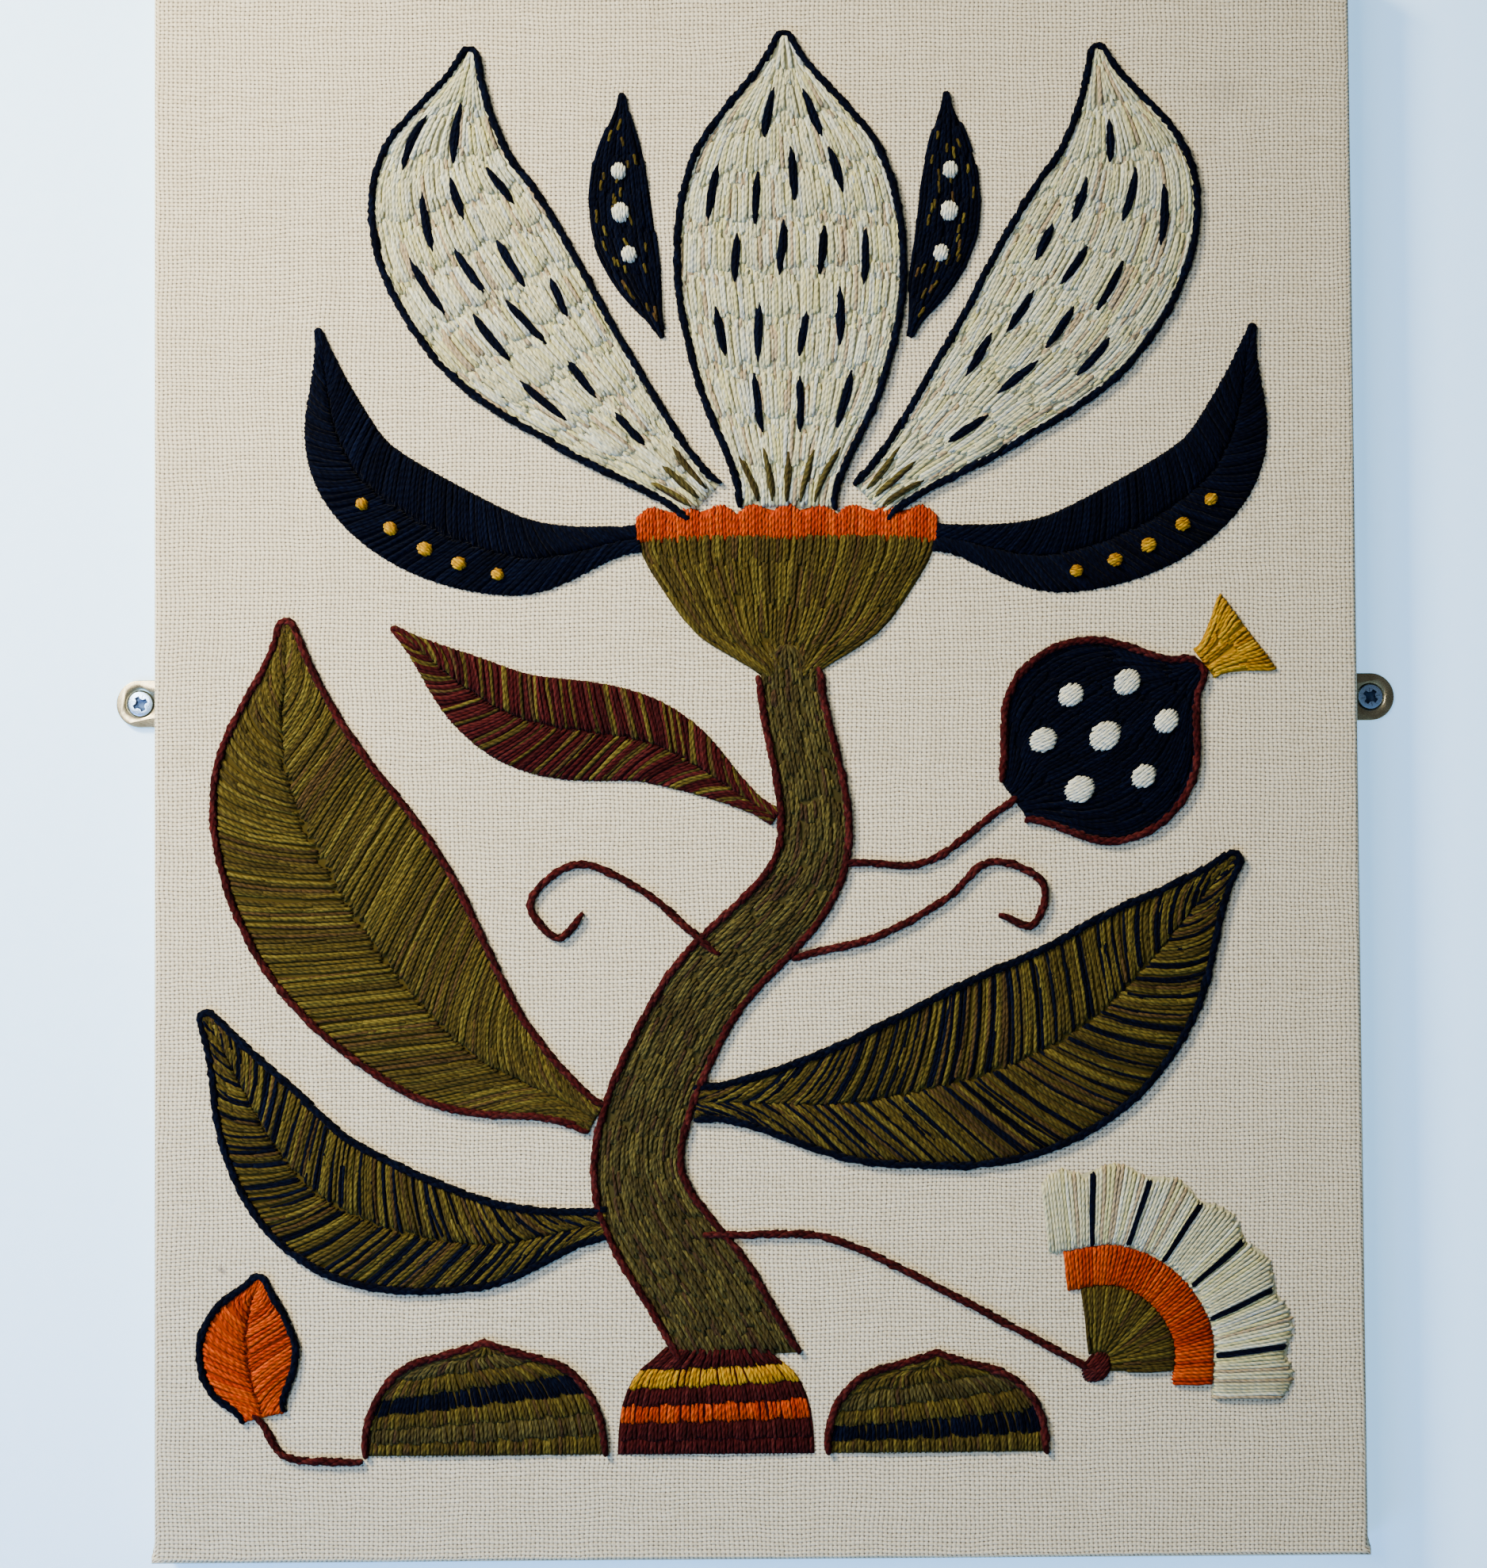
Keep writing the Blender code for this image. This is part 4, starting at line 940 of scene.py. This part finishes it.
def metal_material(name, low, high, roughness):
    """Plated metal, a little uneven and scratched."""
    metal = Surface(name, Metallic=1.0)
    place = metal.node("TexCoord")["Object"]
    cloud = metal.noise(place, 160.0, 4.0, 0.6)[0]
    scratches = metal.noise(metal.vector("MULTIPLY", place, (1.0, 1.0, 6.0)), 1320.0, 3.0, 0.7)[0]
    rough = metal.ranged(scratches, 0.3, 0.75, roughness * 0.75, roughness * 1.35)
    metal.tree.links.new(rough, metal.shader.inputs["Roughness"])
    return metal.painted(metal.mixed(metal.ranged(cloud, 0.3, 0.7), low, high), scratches, 0.12, 0.0001)


# The cloth, the frame and the fittings


def new_object(name, data):
    """An object in the scene."""
    made = bpy.data.objects.new(name, data)
    bpy.context.scene.collection.objects.link(made)
    return made


def add_piece(name, mesh, material, slot, *nodes):
    """A piece of the object, on its body, which stands for CAD nodes."""
    piece = new_object(name, mesh)
    mesh.materials.append(material)
    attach(piece, "root")
    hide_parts(*nodes)
    return piece


def turned_mesh(profile, place, inward, sides):
    """A bmesh turned about Y: the profile's radii and depths behind its front, in mm, towards inward."""
    bm = bmesh.new()
    x, y, z = place
    rings = []
    for radius, depth in np.array(profile) * MM:
        turns = [math.tau * i / sides for i in range(sides)] if radius else [0.0]
        rings.append([bm.verts.new((x + radius * math.cos(t), y + inward * depth, z + radius * math.sin(t)))
                      for t in turns])
    for near, far in zip(rings, rings[1:]):
        for i in range(sides):
            after = (i + 1) % sides
            corners = [near[i % len(near)], near[after % len(near)], far[after % len(far)], far[i % len(far)]]
            bm.faces.new(list(dict.fromkeys(corners)))
    bmesh.ops.recalc_face_normals(bm, faces=bm.faces)
    return bm


def object_of(name, bm):
    """A loose object of a bmesh, which is freed."""
    mesh = bpy.data.meshes.new(name)
    bm.to_mesh(mesh)
    bm.free()
    return new_object(name, mesh)


def cut_mesh(name, whole, cutters):
    """The mesh of a bmesh with the shapes of others cut out of it."""
    rough = object_of(name, whole)
    tools = [object_of("cutter", cutter) for cutter in cutters]
    for tool in tools:
        cut = rough.modifiers.new("cut", "BOOLEAN")
        cut.operation = "DIFFERENCE"
        cut.solver = "EXACT"
        cut.object = tool
    graph = bpy.context.evaluated_depsgraph_get()
    mesh = bpy.data.meshes.new_from_object(rough.evaluated_get(graph))
    for spent in (rough, *tools):
        bpy.data.objects.remove(spent, do_unlink=True)
    mesh.shade_smooth()
    mesh.set_sharp_from_angle(angle=math.radians(32))
    return mesh


def plate_bmesh(side):
    """A mirror plate without its holes: a strip whose round ear stands out past the frame."""
    ear_x = side * (HALF_WIDTH + WALL_SCREW_OUT)
    inner_x = side * (HALF_WIDTH - PLATE_INNER_REACH)
    turns = [side * math.pi * (i / 40 - 0.5) for i in range(41)]
    rim = [(ear_x + side * PLATE_HALF_HEIGHT * math.cos(t), PLATE_HALF_HEIGHT * math.sin(t)) for t in turns]
    corner = 2.0 * MM
    for i in range(7):
        t = side * (math.pi / 2 + math.pi / 12 * i)
        rim.append((inner_x + side * corner * (1 + math.cos(t)),
                    side * (PLATE_HALF_HEIGHT - corner) + corner * math.sin(t)))
    rim += [(x, -z) for x, z in rim[:40:-1]]
    bm = bmesh.new()
    face = bm.faces.new([bm.verts.new((x, 0.0, z)) for x, z in rim])
    thick = bmesh.ops.extrude_face_region(bm, geom=[face], use_keep_orig=True)["geom"]
    for vert in (v for v in thick if isinstance(v, bmesh.types.BMVert)):
        vert.co.y = -PLATE_THICKNESS
    bmesh.ops.recalc_face_normals(bm, faces=bm.faces)
    edges = [e for e in bm.edges if len({round(v.co.y, 6) for v in e.verts}) == 1]
    bmesh.ops.bevel(bm, geom=edges, offset=0.28 * MM, segments=3, profile=0.5, affect="EDGES")
    return bm


def recess_bmeshes(x, turn):
    """The cutters of a cross recess: two arms, a round middle and four short star lines."""
    arms = [(quarter, 6.2, 1.9, 0.0, 1.7) for quarter in (0, 90)]
    lines = [(quarter, 1.5, 0.22, 2.9, 0.15) for quarter in (45, 135, 225, 315)]
    shapes = []
    for quarter, length, width, out, deep in arms + lines:
        bm = bmesh.new()
        bmesh.ops.create_cube(bm, size=1.0)
        for vert in bm.verts:
            lower = vert.co.y > 0
            shrink = 0.45 * MM if lower and deep > 1 else 0.0
            vert.co.x = vert.co.x * (length * MM - 2 * shrink) + out * MM
            vert.co.z *= width * MM - 0.5 * shrink
            vert.co.y = SCREW_HEAD_Y + (deep * MM if lower else -MM)
        spin = Matrix.Translation((x, 0, 0)) @ Matrix.Rotation(turn - math.radians(quarter), 4, "Y")
        bmesh.ops.transform(bm, matrix=spin, verts=bm.verts)
        shapes.append(bm)
    middle = [(0.0, -1.0), (2.1, -1.0), (1.6, 1.8), (0.0, 2.1)]
    return [*shapes, turned_mesh(middle, (x, SCREW_HEAD_Y, 0), 1, 16)]


def add_fittings(zinc, steel):
    """The plates with their dished holes, and the wall screws with their recesses."""
    # The recess's darker blue is partly grime and partly painted shade in the hollow of the cross.
    recess = metal_material("recess", (0.03, 0.06, 0.13), (0.07, 0.12, 0.24), 0.5)
    thick = PLATE_THICKNESS / MM
    dish = [(0.0, -1.0), (DISH_RADIUS_MM + 0.3, -1.0), (DISH_RADIUS_MM + 0.3, 0.0), (DISH_RADIUS_MM, 0.18),
            (DISH_INNER_RADIUS_MM, thick - 0.1), (DISH_INNER_RADIUS_MM, thick + 1.0), (0.0, thick + 1.0)]
    hole = [(0.0, -1.0), (4.6, -1.0), (1.8, 1.4), (1.8, 3.0), (0.0, 3.0)]
    head = [(0.0, 0.0), (4.35, 0.02), (4.62, 0.12), (4.70, 0.3), (2.3, 2.8), (2.3, 25.4), (0.0, 30.0)]
    for label, side, turn in (("left", -1, -0.48), ("right", 1, 0.62)):
        screw_x = side * (HALF_WIDTH + WALL_SCREW_OUT)
        cutters = [turned_mesh(dish, (screw_x, -PLATE_THICKNESS, 0), 1, 64)]
        for reach in FIXING_PLACES:
            cutters.append(turned_mesh(hole, (side * (HALF_WIDTH - reach), 0, 0), -1, 32))
        plate = cut_mesh(f"plate_{label}", plate_bmesh(side), cutters)
        add_piece(f"plate_{label}", plate, zinc, "zinc", f"hanging_plate_{label}")
        whole = turned_mesh(head, (screw_x, SCREW_HEAD_Y, 0), 1, 48)
        screw = cut_mesh(f"cross_screw_{label}", whole, recess_bmeshes(screw_x, turn))
        add_piece(f"cross_screw_{label}", screw, steel, "steel", f"wall_screw_{label}")
        # The faces inside the cross take the darker recess colour, partly grime and partly painted shade.
        screw.materials.append(recess)
        for face in screw.polygons:
            out = math.hypot(face.center.x - screw_x, face.center.z) / MM
            deep = (face.center.y - SCREW_HEAD_Y) / MM
            face.material_index = int(0.05 < deep < 2.2 and out < 3.3 - 0.3 * deep)


def fold_step(z, y):
    """How far the folded corner stands out of the panel's side: one layer, with a slanted edge."""
    from_end = HALF_HEIGHT - abs(z)
    edge = min(FOLD_REACH, 0.003 + 0.75 * (y - CLOTH_FRONT_Y))
    share = min(max((edge - from_end) / (1.5 * MM), 0.0), 1.0)
    return FOLD_PROUD * share * share * (3 - 2 * share)


def profile_rings():
    """The cloth's way round the panel's edge: inset, y, and length from the front's border."""
    r = EDGE_RADIUS
    turns = [math.radians(18 * i) for i in range(1, 6)]
    rings = [(r * (1 - math.sin(t)), CLOTH_FRONT_Y + r * (1 - math.cos(t))) for t in turns]
    depth = FLAP_BACK_Y - CLOTH_FRONT_Y
    rings += [(0.0, CLOTH_FRONT_Y + r + (depth - 2 * r) * i / 8) for i in range(1, 9)]
    rings += [(r * (1 - math.cos(t)), FLAP_BACK_Y - r + r * math.sin(t)) for t in turns]
    rings += [(r + (FLAP_WIDTH - r) * i / 6, FLAP_BACK_Y) for i in range(1, 7)]
    run, before, result = 0.0, (r, CLOTH_FRONT_Y), []
    for ring in rings:
        run += math.dist(before, ring)
        before = ring
        result.append((*ring, run))
    return result


def add_cloth():
    """The linen: one sheet over the front, round the sides, with folded corners and turned-in flaps."""
    inner_x, inner_z = HALF_WIDTH - EDGE_RADIUS, HALF_HEIGHT - EDGE_RADIUS
    across = np.linspace(-inner_x, inner_x, round(2 * inner_x / CLOTH_STEP) + 1)
    ends = np.arange(0, FOLD_REACH + 2 * MM, FOLD_STEP)
    body = inner_z - ends[-1]
    middle = np.linspace(-body, body, round(2 * body / CLOTH_STEP) + 1)
    up = np.concatenate([-inner_z + ends[:-1], middle, inner_z - ends[-2::-1]])
    last_i, last_j = len(across) - 1, len(up) - 1
    places = [(x, CLOTH_FRONT_Y, z) for z in up for x in across]
    faces, flats = [], []
    for j in range(last_j):
        for i in range(last_i):
            corners = ((i, j), (i + 1, j), (i + 1, j + 1), (i, j + 1))
            faces.append([q * len(across) + p for p, q in corners])
            flats += [(across[p], up[q]) for p, q in corners]
    border = [(i, 0, (0, -1)) for i in range(last_i)] + [(last_i, j, (1, 0)) for j in range(last_j)]
    border += [(i, last_j, (0, 1)) for i in range(last_i, 0, -1)]
    border += [(0, j, (-1, 0)) for j in range(last_j, 0, -1)]
    ring = [j * len(across) + i for i, j, _ in border]
    before_run = 0.0
    for inset, y, run in profile_rings():
        start = len(places)
        for i, j, _ in border:
            x = across[i] * (HALF_WIDTH - inset) / inner_x
            z = up[j] * (HALF_HEIGHT - inset) / inner_z
            if abs(abs(x) - (HALF_WIDTH - inset)) < 1e-6 and inset < EDGE_RADIUS:
                x += math.copysign(fold_step(z, y), x)
            places.append((x, y, z))
        for k, (i, j, out) in enumerate(border):
            after = (k + 1) % len(border)
            faces.append((ring[k], start + k, start + after, ring[after]))
            p, q, _ = border[after]
            flats += [(across[a] + out[0] * far, up[b] + out[1] * far)
                      for a, b, far in ((i, j, before_run), (i, j, run), (p, q, run), (p, q, before_run))]
        ring = list(range(start, start + len(border)))
        before_run = run
    mesh = bpy.data.meshes.new("linen_cloth")
    mesh.from_pydata([(x, y + slack(x, y, z), z + MIDDLE_Z) for x, y, z in places], [], faces)
    mesh.shade_smooth()
    flat = mesh.uv_layers.new(name="cloth")
    flat.data.foreach_set("uv", (np.array(flats) / MM).ravel())
    cloth = add_piece("linen_cloth", mesh, linen_material(), "linen", "ground_cloth")
    thick = cloth.modifiers.new("thickness", "SOLIDIFY")
    thick.thickness = CLOTH_THICKNESS
    thick.offset = -1.0


def slack(x, y, z):
    """The small unevenness of the stretched cloth on the front."""
    if y > CLOTH_FRONT_Y + 1e-6:
        return 0.0
    rim = min(HALF_WIDTH - abs(x), HALF_HEIGHT - abs(z)) / 0.02
    return 0.2 * MM * noise.noise(Vector((x, 0.0, z)) * 22.0) * min(max(rim, 0.0), 1.0)


def add_frame():
    """The bars, the plates and all the screws."""
    lying = pine_material("pine_along_x", (0.6, 14.0, 14.0))
    upright = pine_material("pine_along_z", (14.0, 14.0, 0.6))
    zinc = metal_material("plated_zinc", (0.36, 0.30, 0.17), (0.50, 0.43, 0.27), 0.27)
    steel = metal_material("screw_steel", (0.38, 0.58, 0.92), (0.50, 0.70, 1.0), 0.32)
    finishes = {"bar_top": lying, "bar_bottom": lying, "bar_left": upright, "bar_right": upright}
    finishes |= {name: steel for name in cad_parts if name.startswith("fixing_screw")}
    for name, finish in finishes.items():
        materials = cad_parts[name].data.materials
        materials.clear()
        materials.append(finish)
    add_fittings(zinc, steel)


# The stage


def stage_plane(name, corners, faces, material):
    """Flat faces that aren't part of the object."""
    mesh = bpy.data.meshes.new(name)
    mesh.from_pydata(corners, [], faces)
    mesh.materials.append(material)
    new_object(name, mesh)


def add_stage():
    """A white wall, clear from behind and open where the object hides it, and a pale floor."""
    wall = Surface("wall_paint", Roughness=0.85, Emission_Strength=1.3,
                   Emission_Color=(0.28, 0.60, 1.0, 1.0))
    grain = wall.noise(wall.node("TexCoord")["Object"], 180.0, 4.0, 0.6)[0]
    colour = wall.mixed(wall.ranged(grain, 0.3, 0.7), (0.60, 0.80, 0.98), (0.63, 0.83, 1.0))
    wall_paint = wall.painted(colour, grain, 0.15, 0.0005)
    behind = wall.node("NewGeometry")["Backfacing"]
    either = wall.node("MixShader", behind, wall.shader.outputs[0], wall.node("BsdfTransparent")[0])[0]
    wall.tree.links.new(either, wall.tree.nodes["Material Output"].inputs["Surface"])
    y, low, high, reach = 0.4 * MM, -1.15, 4.0, 8.0
    hole_x, ear_x = HALF_WIDTH - 0.5 * MM, HALF_WIDTH + 14 * MM
    hole_z, ear_z = HALF_HEIGHT - 0.5 * MM, 7 * MM
    xs = (-reach, -ear_x, -hole_x, hole_x, ear_x, reach)
    zs = (low, MIDDLE_Z - hole_z, -ear_z, ear_z, MIDDLE_Z + hole_z, high)
    solid = [6 * j + i for i in range(5) for j in range(5)
             if not (i == 2 and 0 < j < 4 or i in (1, 3) and j == 2)]
    stage_plane("wall", [(x, y, z) for z in zs for x in xs], [(a, a + 1, a + 7, a + 6) for a in solid],
                wall_paint)
    floor = Surface("floor_paint", Base_Color=(0.92, 0.84, 0.74, 1.0), Roughness=0.8)
    corners = [(-reach, -reach, low), (reach, -reach, low), (reach, reach, low), (-reach, reach, low)]
    stage_plane("floor", corners, [(0, 1, 2, 3)], floor.material)


def add_lights():
    """Soft area lights that point at their targets, and a soft sky."""
    for name, place, target, size, power, colour, spread in LIGHTS:
        data = bpy.data.lights.new(name, "AREA")
        data.size = size
        data.energy = power
        data.color = colour
        data.spread = math.radians(spread)
        light = new_object(name, data)
        light.location = place
        light.rotation_euler = (Vector(target) - Vector(place)).to_track_quat("-Z", "Y").to_euler()
    world = bpy.data.worlds.new("soft_sky")
    world.use_nodes = True
    sky = world.node_tree.nodes["Background"]
    sky.inputs["Color"].default_value = (0.80, 0.90, 1.0, 1.0)
    sky.inputs["Strength"].default_value = 0.13
    bpy.context.scene.world = world


def add_camera():
    """The camera, where the photograph was taken from."""
    data = bpy.data.cameras.new("camera")
    data.lens = CAMERA_LENS
    data.sensor_width = 36.0
    data.clip_start = 0.01
    camera = new_object("camera", data)
    turn = Matrix.Rotation(-CAMERA_YAW, 4, "Z")
    tilt = Matrix.Rotation(math.pi / 2 + CAMERA_PITCH, 4, "X")
    roll = Matrix.Rotation(CAMERA_ROLL, 4, "Z")
    camera.matrix_world = Matrix.Translation(CAMERA_PLACE) @ turn @ tilt @ roll
    bpy.context.scene.camera = camera


def main():
    """Builds the scene."""
    add_camera()
    add_lights()
    add_stage()
    add_cloth()
    add_frame()
    add_stitching()


main()
